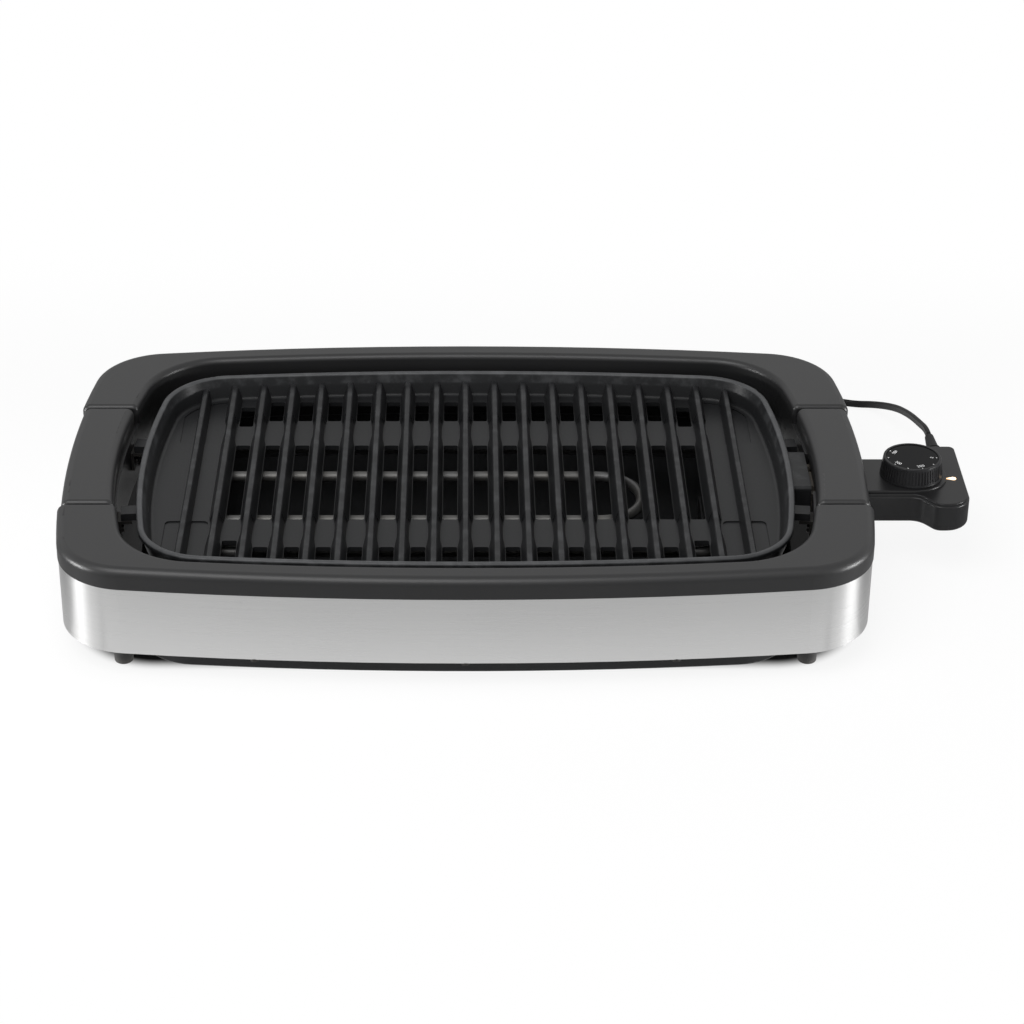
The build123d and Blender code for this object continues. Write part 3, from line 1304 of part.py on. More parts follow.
def plug_prongs():
    """Two flat blades in the plug's face."""
    face = PLUG_FACE_X - PLUG_LENGTH
    prongs = []
    for sign in (1, -1):
        y = COIL_BACK_Y + sign * PRONG_SPACING / 2
        prong = block((face - PRONG_LENGTH, y - PRONG_THICK / 2, PLUG_THICK / 2 - PRONG_WIDTH / 2),
                      (face, y + PRONG_THICK / 2, PLUG_THICK / 2 + PRONG_WIDTH / 2))
        prongs.append(chamfer(prong.edges().filter_by(Axis.Y).group_by(Axis.X)[0], length=1.2))
    return prongs


def build():
    """Every node by name."""
    nodes = {
        "housing": housing(),
        "handle_left": handle(-1),
        "handle_right": handle(1),
        "handle_screws": handle_screws(),
        "steel_band": steel_band(),
        "band_screws": band_screws(),
        "plate_brackets": plate_brackets(),
        "bracket_screws": bracket_screws(),
        "foot_screws": foot_screws(),
        "grill_plate": grill_plate(),
        "heating_element": heating_element(),
        "element_clips": element_clips(),
        "clip_screws": clip_screws(),
        "terminal_pins": terminal_pins(),
        "terminal_insulators": terminal_insulators(),
        "socket_shroud": socket_shroud(),
        "shroud_screws": shroud_screws(),
        "drip_tray": drip_tray(),
        "control_lower_shell": control_lower_shell(),
        "control_upper_shell": control_upper_shell(),
        "lid_screws": lid_screws(),
        "contact_carrier": contact_carrier(),
        "contact_forks": contact_forks(),
        "sensor_rod": sensor_rod(),
        "thermostat_bracket": thermostat_bracket(),
        "thermostat_stack": thermostat_stack(),
        "contact_blades": contact_blades(),
        "contact_leads": contact_leads(),
        "knob_shaft": knob_shaft(),
        "control_knob": control_knob(),
        "dial_disc": dial_disc(),
        "indicator_lens": indicator_lens(),
        "indicator_lamp": indicator_lamp(),
        "strain_relief": strain_relief(),
        "cord_stretch": cord_stretch(),
        "cord_coil": cord_coil(),
        "cord_end": cord_end(),
        "plug_body": plug_body(),
        "plug_prongs": plug_prongs(),
    }
    for name, place in foot_places().items():
        nodes[name] = place * foot()
    return nodes


def solids_of(piece):
    """All solids of a node, whether it is one shape or a list of shapes."""
    shapes = piece if isinstance(piece, list) else [piece]
    return [solid for shape in shapes for solid in shape.solids()]


os.makedirs("parts", exist_ok=True)
print("cord radii", [round(radius, 1) for radius in corner_radii(CORD_ROUTE) + corner_radii(TAIL_ROUTE)])
centring = Pos(-CONTROL_REACH / 2, 0, 0)
for name, piece in build().items():
    solids = [centring * solid for solid in solids_of(piece)]
    node = solids[0] if len(solids) == 1 else Compound(children=solids)
    export_step(node, f"parts/{name}.step")
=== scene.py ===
import bpy
import math
from mathutils import Matrix, Vector


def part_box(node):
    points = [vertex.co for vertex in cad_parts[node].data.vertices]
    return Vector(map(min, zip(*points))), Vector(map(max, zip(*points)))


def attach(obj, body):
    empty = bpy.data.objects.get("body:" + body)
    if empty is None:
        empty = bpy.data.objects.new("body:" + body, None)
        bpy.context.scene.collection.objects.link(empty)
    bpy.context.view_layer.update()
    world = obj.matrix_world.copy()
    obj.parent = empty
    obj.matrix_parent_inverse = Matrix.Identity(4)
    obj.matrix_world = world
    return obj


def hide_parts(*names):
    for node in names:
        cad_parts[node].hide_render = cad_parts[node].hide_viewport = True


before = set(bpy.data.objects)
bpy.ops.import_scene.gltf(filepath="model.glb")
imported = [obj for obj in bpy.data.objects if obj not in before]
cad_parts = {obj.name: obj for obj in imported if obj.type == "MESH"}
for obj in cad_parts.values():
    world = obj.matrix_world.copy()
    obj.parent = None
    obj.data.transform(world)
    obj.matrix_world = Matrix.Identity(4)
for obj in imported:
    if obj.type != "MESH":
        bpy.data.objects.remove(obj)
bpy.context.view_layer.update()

# Camera. It stands in front of the grill a little left of its middle and looks down by
# 29.7 degrees through a long lens, with the picture shifted so that the control comes in.
camera = bpy.data.objects.new("camera", bpy.data.cameras.new("camera"))
camera.location = (-0.033, -1.6051, 0.950)
camera.rotation_euler = (math.radians(90.0 - 29.7), 0.0, 0.0)
camera.data.sensor_width = 36.0
camera.data.lens = 98.12
camera.data.shift_x = 0.0454
camera.data.clip_start = 0.02
bpy.context.scene.collection.objects.link(camera)
bpy.context.scene.camera = camera


# Cord. A flat twin heater cord in black rubber: two round cores side by side under one
# sheath. It leaves the control's sleeve standing on edge, drops to the table, twists flat
# behind the grill and ends in a small two-layer coil by the plug.
class Value:
    """One output socket, so that shader maths reads as plain expressions."""

    def __init__(self, finish, socket):
        self.finish = finish
        self.socket = socket

    def maths(self, operation, *values):
        return self.finish.node("ShaderNodeMath", {"operation": operation},
                                dict(enumerate(values)))

    def __add__(self, other):
        return self.maths("ADD", self, other)

    def __sub__(self, other):
        return self.maths("SUBTRACT", self, other)

    def __rsub__(self, other):
        return self.maths("SUBTRACT", other, self)

    def __mul__(self, other):
        return self.maths("MULTIPLY", self, other)

    __radd__ = __add__
    __rmul__ = __mul__

    def over(self, limit, softness):
        """0 below limit, 1 above limit + softness, and smooth between them."""
        return self.finish.node("ShaderNodeMapRange", {"interpolation_type": "SMOOTHSTEP"},
                                {0: self, 1: limit, 2: limit + softness})


class Finish:
    """A material or world in the making: its node tree and the shader that all feeds."""

    def __init__(self, owner, shader="Principled BSDF"):
        self.owner = owner
        owner.use_nodes = True
        self.tree = owner.node_tree
        self.shader = self.tree.nodes[shader]

    def plug(self, socket, value):
        if isinstance(value, Value):
            self.tree.links.new(value.socket, socket)
        elif socket.type == "RGBA":
            socket.default_value = (*value, 1.0)
        else:
            socket.default_value = value

    def node(self, kind, settings, sockets, output=0):
        """Any node by its type: first its settings, then its sockets' values or links."""
        node = self.tree.nodes.new(kind)
        for name, setting in settings.items():
            if name == "stops":
                while len(node.color_ramp.elements) < len(setting):
                    node.color_ramp.elements.new(0.5)
                for element, (place, colour) in zip(node.color_ramp.elements, setting):
                    element.position = place
                    element.color = (*colour, 1.0)
            else:
                setattr(node, name, setting)
        for name, value in sockets.items():
            self.plug(node.inputs[name], value)
        return Value(self, node.outputs[output])

    def feed(self, sockets):
        for name, value in sockets.items():
            self.plug(self.shader.inputs[name], value)

    def place(self):
        """The point on the piece in metres, which stays with the piece as it moves."""
        return self.node("ShaderNodeTexCoord", {}, {}, "Object")

    def noise(self, scale, detail=3.0, stretch=(1.0, 1.0, 1.0), seed=0.0):
        """Cloudy values round one half; scale is in spots a metre."""
        spot = self.node("ShaderNodeMapping", {}, {"Vector": self.place(), "Scale": stretch,
                                                   "Location": (seed, seed * 0.7, seed * 0.3)})
        return self.node("ShaderNodeTexNoise", {}, {"Vector": spot, "Scale": scale,
                                                    "Detail": detail, "Roughness": 0.55})

    def mixed(self, share, first, second):
        """A colour between two colours."""
        return self.node("ShaderNodeMix", {"data_type": "RGBA"},
                         {0: share, 6: first, 7: second}, 2)

    def bumped(self, height, depth, strength=1.0):
        """A normal for relief that is depth metres high where height goes from 0 to 1."""
        return self.node("ShaderNodeBump", {}, {"Height": height, "Distance": depth,
                                                "Strength": strength})


def dress(finish, *names):
    """Gives a finish to solids of the frame."""
    for name in names:
        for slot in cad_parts[name].material_slots:
            slot.material = finish.owner


def made(name, points, faces, finish, body, smooth=True):
    """A piece from its mesh, dressed, named and riding on a body."""
    mesh = bpy.data.meshes.new(name)
    mesh.from_pydata([tuple(point) for point in points], [], faces)
    mesh.update()
    for face in mesh.polygons:
        face.use_smooth = smooth
    mesh.materials.append(finish.owner)
    piece = bpy.data.objects.new(name, mesh)
    bpy.context.scene.collection.objects.link(piece)
    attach(piece, body)
    return piece


core_radius = 0.0017
core_centre = 0.0009
waist_depth, waist_spread = 0.16, 0.22
outline_steps = 32
table_z = 0.0018
on_edge_z = 0.0027
layer_rise = 0.0039
flat_up_to_x, on_edge_from_x = 0.214, 0.250
relief_end = (0.2825, 0.0696, 0.0532)
coil_centre = Vector((0.172, 0.215))
coil_radius = 0.032
coil_pitch = 0.006
coil_in, coil_climb, coil_out = 1.25, 0.5, 1.25
coil_back = coil_centre.y + coil_radius
coil_steps = 16
squeeze = 0.0007


def coil_points():
    """The coil's turns: inwards on the table, up a layer, outwards on top."""
    turns = coil_in + coil_climb + coil_out
    inner = coil_radius - coil_pitch * coil_in
    points = []
    for step in range(1, round(coil_steps * turns)):
        turn = step / coil_steps
        if turn <= coil_in:
            radius, rise = coil_radius - coil_pitch * turn, 0.0
        elif turn <= coil_in + coil_climb:
            share = (turn - coil_in) / coil_climb
            radius = inner - squeeze * math.sin(math.pi * share)
            rise = layer_rise * (1 - math.cos(math.pi * share)) / 2
        else:
            share = (turn - coil_in - coil_climb) / coil_out
            radius, rise = inner + (coil_radius - inner) * share, layer_rise
        angle = math.tau * (0.25 + turn)
        points.append((coil_centre.x + radius * math.cos(angle),
                       coil_centre.y + radius * math.sin(angle), table_z + rise))
    return points


cord_route = [
    relief_end,
    (0.2825, 0.0805, 0.0532),
    (0.2812, 0.1020, 0.0468),
    (0.2794, 0.1240, 0.0406),
    (0.2774, 0.1460, 0.0330),
    (0.2755, 0.1680, 0.0243),
    (0.2708, 0.1890, 0.0153),
    (0.2640, 0.2060, 0.0075),
    (0.2555, 0.2155, on_edge_z),
    (0.2440, 0.2185, on_edge_z),
    (0.2290, 0.2250, on_edge_z),
    (0.2120, 0.2370, table_z),
    (0.1945, coil_back, table_z),
    (0.1772, coil_back, table_z),
]
cord_route += coil_points()
cord_route += [
    (0.1668, coil_back, table_z + layer_rise),
    (0.1510, coil_back, table_z + layer_rise),
    (0.1350, coil_back, 0.0070),
    (0.1260, coil_back, 0.0070),
]
route = bpy.data.curves.new("cord_route", "CURVE")
route.dimensions = "3D"
route.resolution_u = 5
spline = route.splines.new("NURBS")
spline.points.add(len(cord_route) - 1)
for point, place in zip(spline.points, cord_route):
    point.co = (*place, 1.0)
spline.order_u = 3
spline.use_endpoint_u = True
route_object = bpy.data.objects.new("cord_route", route)
route_mesh = bpy.data.meshes.new_from_object(route_object)
cord_line = [vertex.co.copy() for vertex in route_mesh.vertices]
bpy.data.objects.remove(route_object)

outline = []
for step in range(outline_steps):
    angle = math.tau * step / outline_steps
    core = core_centre if math.cos(angle) >= 0 else -core_centre
    waist = 1.0 - waist_depth * math.exp(-(math.cos(angle) / waist_spread) ** 2)
    outline.append((core + core_radius * math.cos(angle), core_radius * waist * math.sin(angle)))
points, faces = [], []
for index, centre in enumerate(cord_line):
    before = cord_line[max(index - 1, 0)]
    after = cord_line[min(index + 1, len(cord_line) - 1)]
    forward = (after - before).normalized()
    level = forward.cross(Vector((0, 0, 1))).normalized()
    turned_up = (centre.x - flat_up_to_x) / (on_edge_from_x - flat_up_to_x)
    twist = math.pi / 2 * min(max(turned_up, 0.0), 1.0)
    side = level * math.cos(twist) + level.cross(forward) * math.sin(twist)
    up = side.cross(forward)
    points += [centre + side * across + up * height for across, height in outline]
    if index:
        near = (index - 1) * outline_steps
        far = near + outline_steps
        faces += [(near + step, near + (step + 1) % outline_steps,
                   far + (step + 1) % outline_steps, far + step)
                  for step in range(outline_steps)]
faces += [tuple(reversed(range(outline_steps))),
          tuple(range(len(points) - outline_steps, len(points)))]
sheath = Finish(bpy.data.materials.new("cord_sheath"))
sheath_cloud = sheath.noise(60.0)
sheath.feed({
    "Base Color": sheath.mixed(sheath_cloud, (0.006, 0.006, 0.0065), (0.012, 0.012, 0.0125)),
    "Specular IOR Level": 0.12,
    "Roughness": sheath.noise(25.0, seed=2.0) * 0.16 + 0.36,
    "Normal": sheath.bumped(sheath.noise(900.0, 2.0), 0.00006, 0.5),
})
cord = made("cord", points, faces, sheath, "control")
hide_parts("cord_stretch", "cord_coil", "cord_end")

# Strain relief and plug. The sleeve and the plug are soft black vinyl moulded round the
# cord, with a finely pebbled skin; the plug's two blades are folded brass sheet, nickel
# bright where they have been pushed in and out.
vinyl = Finish(bpy.data.materials.new("moulded_vinyl"))
vinyl.feed({
    "Base Color": vinyl.mixed(vinyl.noise(80.0), (0.007, 0.007, 0.0075), (0.013, 0.013, 0.0135)),
    "Specular IOR Level": 0.15,
    "Roughness": vinyl.noise(40.0, seed=4.0) * 0.14 + 0.42,
    "Normal": vinyl.bumped(vinyl.noise(1600.0, 2.0), 0.00005, 0.5),
})
dress(vinyl, "strain_relief", "plug_body")
blades = Finish(bpy.data.materials.new("plug_blades"))
blade_scuffs = blades.noise(240.0, stretch=(0.15, 1.0, 1.0))
blades.feed({
    "Base Color": blades.mixed(blade_scuffs, (0.62, 0.47, 0.22), (0.80, 0.66, 0.38)),
    "Metallic": 1.0,
    "Roughness": blade_scuffs * 0.25 + 0.16,
    "Normal": blades.bumped(blade_scuffs, 0.00003, 0.4),
})
dress(blades, "plug_prongs")

# Base ring and handles. One black heat-proof resin moulding with satin rails, and two
# separate saddle caps of the same resin screwed down over the end beams. The tool that
# moulded them was lightly spark-textured, so the skin is a fine even pebble.
resin = Finish(bpy.data.materials.new("ring_resin"))
resin_cloud = resin.noise(7.0, 4.0)
resin_pebble = resin.noise(2300.0, 2.0)
resin_speck = resin.noise(420.0, 3.0, seed=5.0).over(0.66, 0.10)
resin.feed({
    "Base Color": resin.mixed(resin_cloud * 0.7 + resin_speck * 0.3, (0.010, 0.010, 0.0105),
                              (0.018, 0.018, 0.0185)),
    "Specular IOR Level": 0.36,
    "Roughness": resin_cloud * 0.10 + resin_pebble * 0.06 + 0.30,
    "Normal": resin.bumped(resin_pebble * 0.8 + resin.noise(160.0, 2.0) * 0.2, 0.00007, 0.55),
})
dress(resin, "housing")
grip = Finish(bpy.data.materials.new("handle_resin"))
grip_cloud = grip.noise(11.0, 4.0, seed=3.0)
grip_pebble = grip.noise(2100.0, 2.0, seed=1.0)
grip.feed({
    "Base Color": grip.mixed(grip_cloud, (0.010, 0.010, 0.0105), (0.017, 0.017, 0.0175)),
    "Specular IOR Level": 0.36,
    "Roughness": grip_cloud * 0.10 + grip_pebble * 0.06 + 0.30,
    "Normal": grip.bumped(grip_pebble, 0.00007, 0.5),
})
dress(grip, "handle_left", "handle_right")

# Steel band. Thin stainless sheet, brushed along its length before it was rolled round
# the ring, so the grain is level lines and a light sweeps up and down across them.
band = Finish(bpy.data.materials.new("brushed_band"))
band_grain = band.noise(1.0, 5.0, stretch=(14.0, 14.0, 3600.0))
band_fine = band.noise(1.0, 3.0, stretch=(60.0, 60.0, 9000.0), seed=7.0)
band_cloud = band.noise(6.0, 3.0, seed=2.0)
band.feed({
    "Base Color": band.mixed(band_grain * 0.6 + band_cloud * 0.4, (0.57, 0.57, 0.57),
                             (0.70, 0.70, 0.695)),
    "Metallic": 1.0,
    "Roughness": band_grain * 0.14 + band_cloud * 0.05 + 0.20,
    "Anisotropic": 0.75,
    "Anisotropic Rotation": 0.25,
    "Normal": band.bumped(band_grain * 0.6 + band_fine * 0.4, 0.00002, 0.35),
})
dress(band, "steel_band")

# Feet. Four tapered pegs of hard black rubber, dull and a little dusty near the sole.
foot = Finish(bpy.data.materials.new("foot_rubber"))
foot_height = foot.node("ShaderNodeSeparateXYZ", {}, {0: foot.place()}, "Z")
dust_from, dust_fade = 0.0005, 0.006
foot_dust = (1.0 - foot_height.over(dust_from, dust_fade)) * foot.noise(300.0)
foot.feed({
    "Base Color": foot.mixed(foot_dust, (0.018, 0.018, 0.018), (0.11, 0.105, 0.10)),
    "Roughness": foot.noise(90.0) * 0.2 + 0.55,
    "Normal": foot.bumped(foot.noise(1300.0, 2.0), 0.00008, 0.5),
})
dress(foot, "foot_front_left", "foot_front_right", "foot_rear_left", "foot_rear_right")

# Hidden screws and brackets. The plate's angles and the screws under the ring are black
# oxide steel with a film of oil, a little brown where the oxide has rubbed thin.
oxide = Finish(bpy.data.materials.new("black_oxide"))
oxide_rub = oxide.noise(240.0, 4.0)
oxide.feed({
    "Base Color": oxide.mixed(oxide_rub, (0.012, 0.012, 0.012), (0.040, 0.037, 0.034)),
    "Metallic": 0.4,
    "Specular IOR Level": 0.3,
    "Roughness": oxide_rub * 0.2 + 0.38,
    "Normal": oxide.bumped(oxide.noise(900.0, 3.0), 0.00003, 0.4),
})
dress(oxide, "handle_screws", "band_screws", "plate_brackets", "bracket_screws", "foot_screws")

# Bright screws and clips. Plain zinc-plated steel: pressed saddles with light rolling
# marks, and cross-head screws with a slightly yellow passivation.
zinc = Finish(bpy.data.materials.new("zinc_plate"))
zinc_marks = zinc.noise(120.0, 4.0, stretch=(0.3, 1.0, 1.0))
zinc.feed({
    "Base Color": zinc.mixed(zinc_marks, (0.50, 0.49, 0.46), (0.66, 0.66, 0.64)),
    "Metallic": 1.0,
    "Roughness": zinc_marks * 0.22 + 0.26,
    "Normal": zinc.bumped(zinc.noise(700.0, 3.0), 0.00003, 0.4),
})
dress(zinc, "element_clips", "clip_screws", "shroud_screws", "lid_screws", "thermostat_bracket",
      "knob_shaft", "terminal_pins")

# Grill plate and terminal shroud. Die-cast aluminium, and a folded sheet cover, under a
# dark non-stick coating: sprayed, so it has a faint orange peel and light specks. It is a
# touch paler in worn patches along the ribs' tops, partly wear and partly painted highlight,
# and more so over the lip's whole top, which is a painted highlight.
coating = Finish(bpy.data.materials.new("non_stick_coating"))
rib_top_z, rib_top_fade = 0.0655, 0.0015
lip_top_z, lip_fade = 0.0712, 0.0012
coat_height = coating.node("ShaderNodeSeparateXYZ", {}, {0: coating.place()}, "Z")
coat_cloud = coating.noise(14.0, 4.0)
coat_speck = coating.noise(1500.0, 1.0, seed=9.0).over(0.68, 0.05)
coat_worn = coating.noise(90.0, 4.0, seed=4.0).over(0.42, 0.3)
# Rib tops paler where worn: partly wear, partly a painted highlight.
rib_wear_and_highlight = coat_height.over(rib_top_z, rib_top_fade) * coat_worn
# Painted highlight: the lip's whole top is paler.
painted_lip_highlight = coat_height.over(lip_top_z, lip_fade)
coating.feed({
    "Base Color": coating.mixed(
        coat_cloud * 0.10 + coat_speck * 0.15 + rib_wear_and_highlight * 0.25 + painted_lip_highlight * 0.55,
        (0.010, 0.0103, 0.011), (0.100, 0.102, 0.106)),
    "Specular IOR Level": 0.14,
    "Roughness": coat_cloud * 0.12 + 0.30,
    "Normal": coating.bumped(coating.noise(650.0, 2.0), 0.00006, 0.5),
})
dress(coating, "grill_plate", "socket_shroud")

# Heating element and sensor. Drawn steel tube that the heat has turned a dull grey, a
# little straw-coloured in places.
tube_steel = Finish(bpy.data.materials.new("tube_steel"))
tint = tube_steel.noise(18.0, 3.0)
tube_steel.feed({
    "Base Color": tube_steel.node("ShaderNodeValToRGB", {"stops": [
        (0.30, (0.105, 0.105, 0.105)), (0.55, (0.125, 0.122, 0.115)),
        (0.80, (0.090, 0.082, 0.072))]},
        {0: tint}),
    "Metallic": 0.7,
    "Roughness": tube_steel.noise(300.0, 3.0, stretch=(0.1, 1.0, 1.0)) * 0.2 + 0.40,
    "Normal": tube_steel.bumped(tube_steel.noise(800.0, 2.0), 0.00003, 0.4),
})
dress(tube_steel, "heating_element", "sensor_rod")

# Drip tray. Pressed aluminium sheet under the same kind of dark grey non-stick coat as the
# plate, a little smoother, with faint wipe marks along its length.
pan = Finish(bpy.data.materials.new("tray_coat"))
pan_cloud = pan.noise(16.0, 4.0)
pan_wipes = pan.noise(60.0, 3.0, stretch=(0.12, 1.0, 1.0), seed=3.0)
pan.feed({
    "Base Color": pan.mixed(pan_cloud * 0.6 + pan_wipes * 0.4, (0.013, 0.0133, 0.014),
                            (0.028, 0.0285, 0.030)),
    "Specular IOR Level": 0.2,
    "Roughness": pan_wipes * 0.14 + 0.30,
    "Normal": pan.bumped(pan.noise(700.0, 2.0), 0.00006, 0.4),
})
dress(pan, "drip_tray")

# Temperature control. Two halves of black resin, smoother than the ring, with a carrier
# of dark heat-proof moulding compound and white ceramic beads inside.
case = Finish(bpy.data.materials.new("control_resin"))
case_cloud = case.noise(24.0, 4.0)
case.feed({
    "Base Color": case.mixed(case_cloud, (0.009, 0.009, 0.0095), (0.016, 0.016, 0.0165)),
    "Specular IOR Level": 0.2,
    "Roughness": case_cloud * 0.12 + 0.24,
    "Normal": case.bumped(case.noise(1900.0, 2.0), 0.00004, 0.4),
})
dress(case, "control_lower_shell", "control_upper_shell")
compound = Finish(bpy.data.materials.new("moulding_compound"))
compound.feed({
    "Base Color": compound.mixed(compound.noise(260.0, 4.0), (0.07, 0.062, 0.052),
                                 (0.12, 0.108, 0.092)),
    "Roughness": compound.noise(50.0) * 0.2 + 0.5,
    "Normal": compound.bumped(compound.noise(900.0, 2.0), 0.00006, 0.5),
})
dress(compound, "contact_carrier")
ceramic = Finish(bpy.data.materials.new("ceramic"))
ceramic.feed({
    "Base Color": ceramic.mixed(ceramic.noise(200.0), (0.70, 0.67, 0.60), (0.82, 0.80, 0.75)),
    "Roughness": ceramic.noise(90.0) * 0.2 + 0.45,
    "Normal": ceramic.bumped(ceramic.noise(1500.0, 2.0), 0.00004, 0.5),
})
dress(ceramic, "terminal_insulators", "thermostat_stack")
brass = Finish(bpy.data.materials.new("spring_brass"))
brass_marks = brass.noise(300.0, 3.0, stretch=(0.2, 1.0, 1.0))
brass.feed({
    "Base Color": brass.mixed(brass_marks, (0.58, 0.42, 0.17), (0.74, 0.57, 0.28)),
    "Metallic": 1.0,
    "Roughness": brass_marks * 0.2 + 0.24,
    "Normal": brass.bumped(brass_marks, 0.00003, 0.4),
})
dress(brass, "contact_forks", "contact_blades")
lead = Finish(bpy.data.materials.new("lead_sleeve"))
lead.feed({
    "Base Color": lead.mixed(lead.noise(150.0), (0.020, 0.020, 0.021), (0.035, 0.035, 0.036)),
    "Roughness": lead.noise(60.0) * 0.15 + 0.4,
    "Normal": lead.bumped(lead.noise(1200.0, 2.0), 0.00004, 0.5),
})
dress(lead, "contact_leads")

# Pilot light. A clear amber teardrop lens pushed up through the lid, lit from below by a
# small glow lamp, so that its middle is almost white.
amber = Finish(bpy.data.materials.new("amber_lens"))
round_end_shift = 0.001
core_glow, core_fade = 0.0010, 0.0040
lens_low, lens_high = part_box("indicator_lens")
lens_middle = Vector(((lens_low[0] + lens_high[0]) / 2 + round_end_shift,
                      (lens_low[1] + lens_high[1]) / 2, lens_high[2]))
amber_reach = amber.node("ShaderNodeVectorMath", {"operation": "DISTANCE"},
                         {0: amber.place(), 1: lens_middle}, "Value")
amber_core = 1.0 - amber_reach.over(core_glow, core_fade)
amber.feed({
    "Base Color": (0.95, 0.55, 0.20),
    "Roughness": amber.noise(500.0) * 0.1 + 0.12,
    "Emission Color": amber.mixed(amber_core, (1.0, 0.40, 0.10), (1.0, 0.86, 0.66)),
    "Emission Strength": 1.6,
    "Normal": amber.bumped(amber.noise(2500.0, 1.0), 0.00002, 0.3),
})
dress(amber, "indicator_lens", "indicator_lamp")

# Knob and dial. A hollow satin black knob with fine upright grips, a thin bright ring
# round its roof and a glossy black disc with white dots and plain numbers.
knob_black = Finish(bpy.data.materials.new("knob_resin"))
knob_black.feed({
    "Base Color": knob_black.mixed(knob_black.noise(60.0), (0.010, 0.010, 0.011),
                                   (0.016, 0.016, 0.0165)),
    "Specular IOR Level": 0.16,
    "Roughness": knob_black.noise(45.0) * 0.12 + 0.24,
    "Normal": knob_black.bumped(knob_black.noise(1700.0, 2.0), 0.00004, 0.4),
})
dress(knob_black, "control_knob")
gloss = Finish(bpy.data.materials.new("dial_gloss"))
gloss.feed({
    "Base Color": gloss.mixed(gloss.noise(50.0), (0.003, 0.003, 0.0035), (0.006, 0.006, 0.0065)),
    "Specular IOR Level": 0.05,
    "Roughness": gloss.noise(140.0, 4.0).over(0.5, 0.4) * 0.06 + 0.07,
    "Normal": gloss.bumped(gloss.noise(30.0), 0.00002, 0.2),
})
dress(gloss, "dial_disc")
print_white = Finish(bpy.data.materials.new("dial_print"))
print_white.feed({
    "Base Color": print_white.mixed(print_white.noise(900.0), (0.78, 0.78, 0.78),
                                    (0.90, 0.90, 0.90)),
    "Roughness": print_white.noise(700.0) * 0.1 + 0.45,
    "Normal": print_white.bumped(print_white.noise(4000.0), 0.00001, 0.3),
})
disc_low, disc_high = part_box("dial_disc")
dial = Vector(((disc_low[0] + disc_high[0]) / 2, (disc_low[1] + disc_high[1]) / 2, disc_high[2]))
dot_ring, number_ring = 0.0158, 0.0128
dot_radius = 0.00045
dot_steps = 16
print_thick, print_sunk = 0.00006, 0.0001
number_height, number_depth = 0.0034, 0.00005
first_mark, mark_step = 147.0, 35.0
numbers = {0: "400", 2: "300", 4: "200", 6: "0"}
marks = [first_mark + mark_step * index for index in range(7)]


def outwards(angle, reach):
    """A flat arrow from the dial's middle, by its angle in degrees and its length."""
    return Vector((math.cos(math.radians(angle)), math.sin(math.radians(angle)), 0)) * reach


points, faces = [], []
for angle in marks:
    centre = dial + outwards(angle, dot_ring)
    start = len(points)
    for rise, share in ((-print_sunk, 1.0), (print_thick * 0.6, 1.0), (print_thick, 0.7)):
        points += [centre + outwards(360.0 * step / dot_steps, dot_radius * share)
                   + Vector((0, 0, rise)) for step in range(dot_steps)]
    for low_ring in (start, start + dot_steps):
        high_ring = low_ring + dot_steps
        faces += [(low_ring + step, low_ring + (step + 1) % dot_steps,
                   high_ring + (step + 1) % dot_steps, high_ring + step)
                  for step in range(dot_steps)]
    faces.append(tuple(start + 2 * dot_steps + step for step in range(dot_steps)))
made("dial_dots", points, faces, print_white, "knob")
for index, label in numbers.items():
    lettering = bpy.data.curves.new("dial_number_" + label, "FONT")
    lettering.body = label
    lettering.size = number_height
    lettering.align_x = "CENTER"
    lettering.align_y = "CENTER"
    lettering.extrude = number_depth
    holder = bpy.data.objects.new("lettering", lettering)
    place = Matrix.Translation(dial + outwards(marks[index], number_ring)) @ Matrix.Rotation(
        math.radians(marks[index] + 90.0), 4, "Z")
    mesh = bpy.data.meshes.new_from_object(holder)
    mesh.transform(place)
    bpy.data.objects.remove(holder)
    points = [vertex.co.copy() for vertex in mesh.vertices]
    faces = [tuple(face.vertices) for face in mesh.polygons]
    made("dial_number_" + label, points, faces, print_white, "knob", smooth=False)


def turned(profile, centre, steps):
    """Points and faces of a closed ring: a profile of (radius, height) turned about Z."""
    points = [centre + Vector((radius * math.cos(math.tau * step / steps),
                               radius * math.sin(math.tau * step / steps), height))
              for step in range(steps) for radius, height in profile]
    count = len(profile)
    faces = []
    for step in range(steps):
        here, there = step * count, (step + 1) % steps * count
        faces += [(here + index, there + index, there + (index + 1) % count,
                   here + (index + 1) % count) for index in range(count)]
    return points, faces


ring_steel = Finish(bpy.data.materials.new("dial_ring"))
ring_turning = ring_steel.noise(1400.0, 2.0)
ring_steel.feed({
    "Base Color": ring_steel.mixed(ring_turning, (0.20, 0.20, 0.205), (0.30, 0.30, 0.305)),
    "Metallic": 0.8,
    "Roughness": ring_turning * 0.15 + 0.24,
    "Normal": ring_steel.bumped(ring_turning, 0.00002, 0.3),
})
ring_top = Vector((dial.x, dial.y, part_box("control_knob")[1][2]))
ring_steps = 96
ring_profile = [(0.01735, -0.0006), (0.01740, -0.00005), (0.01760, 0.0), (0.01795, -0.00002),
                (0.01815, -0.00012), (0.01810, -0.0007)]
points, faces = turned(ring_profile, ring_top, ring_steps)
made("dial_ring", points, faces, ring_steel, "knob")
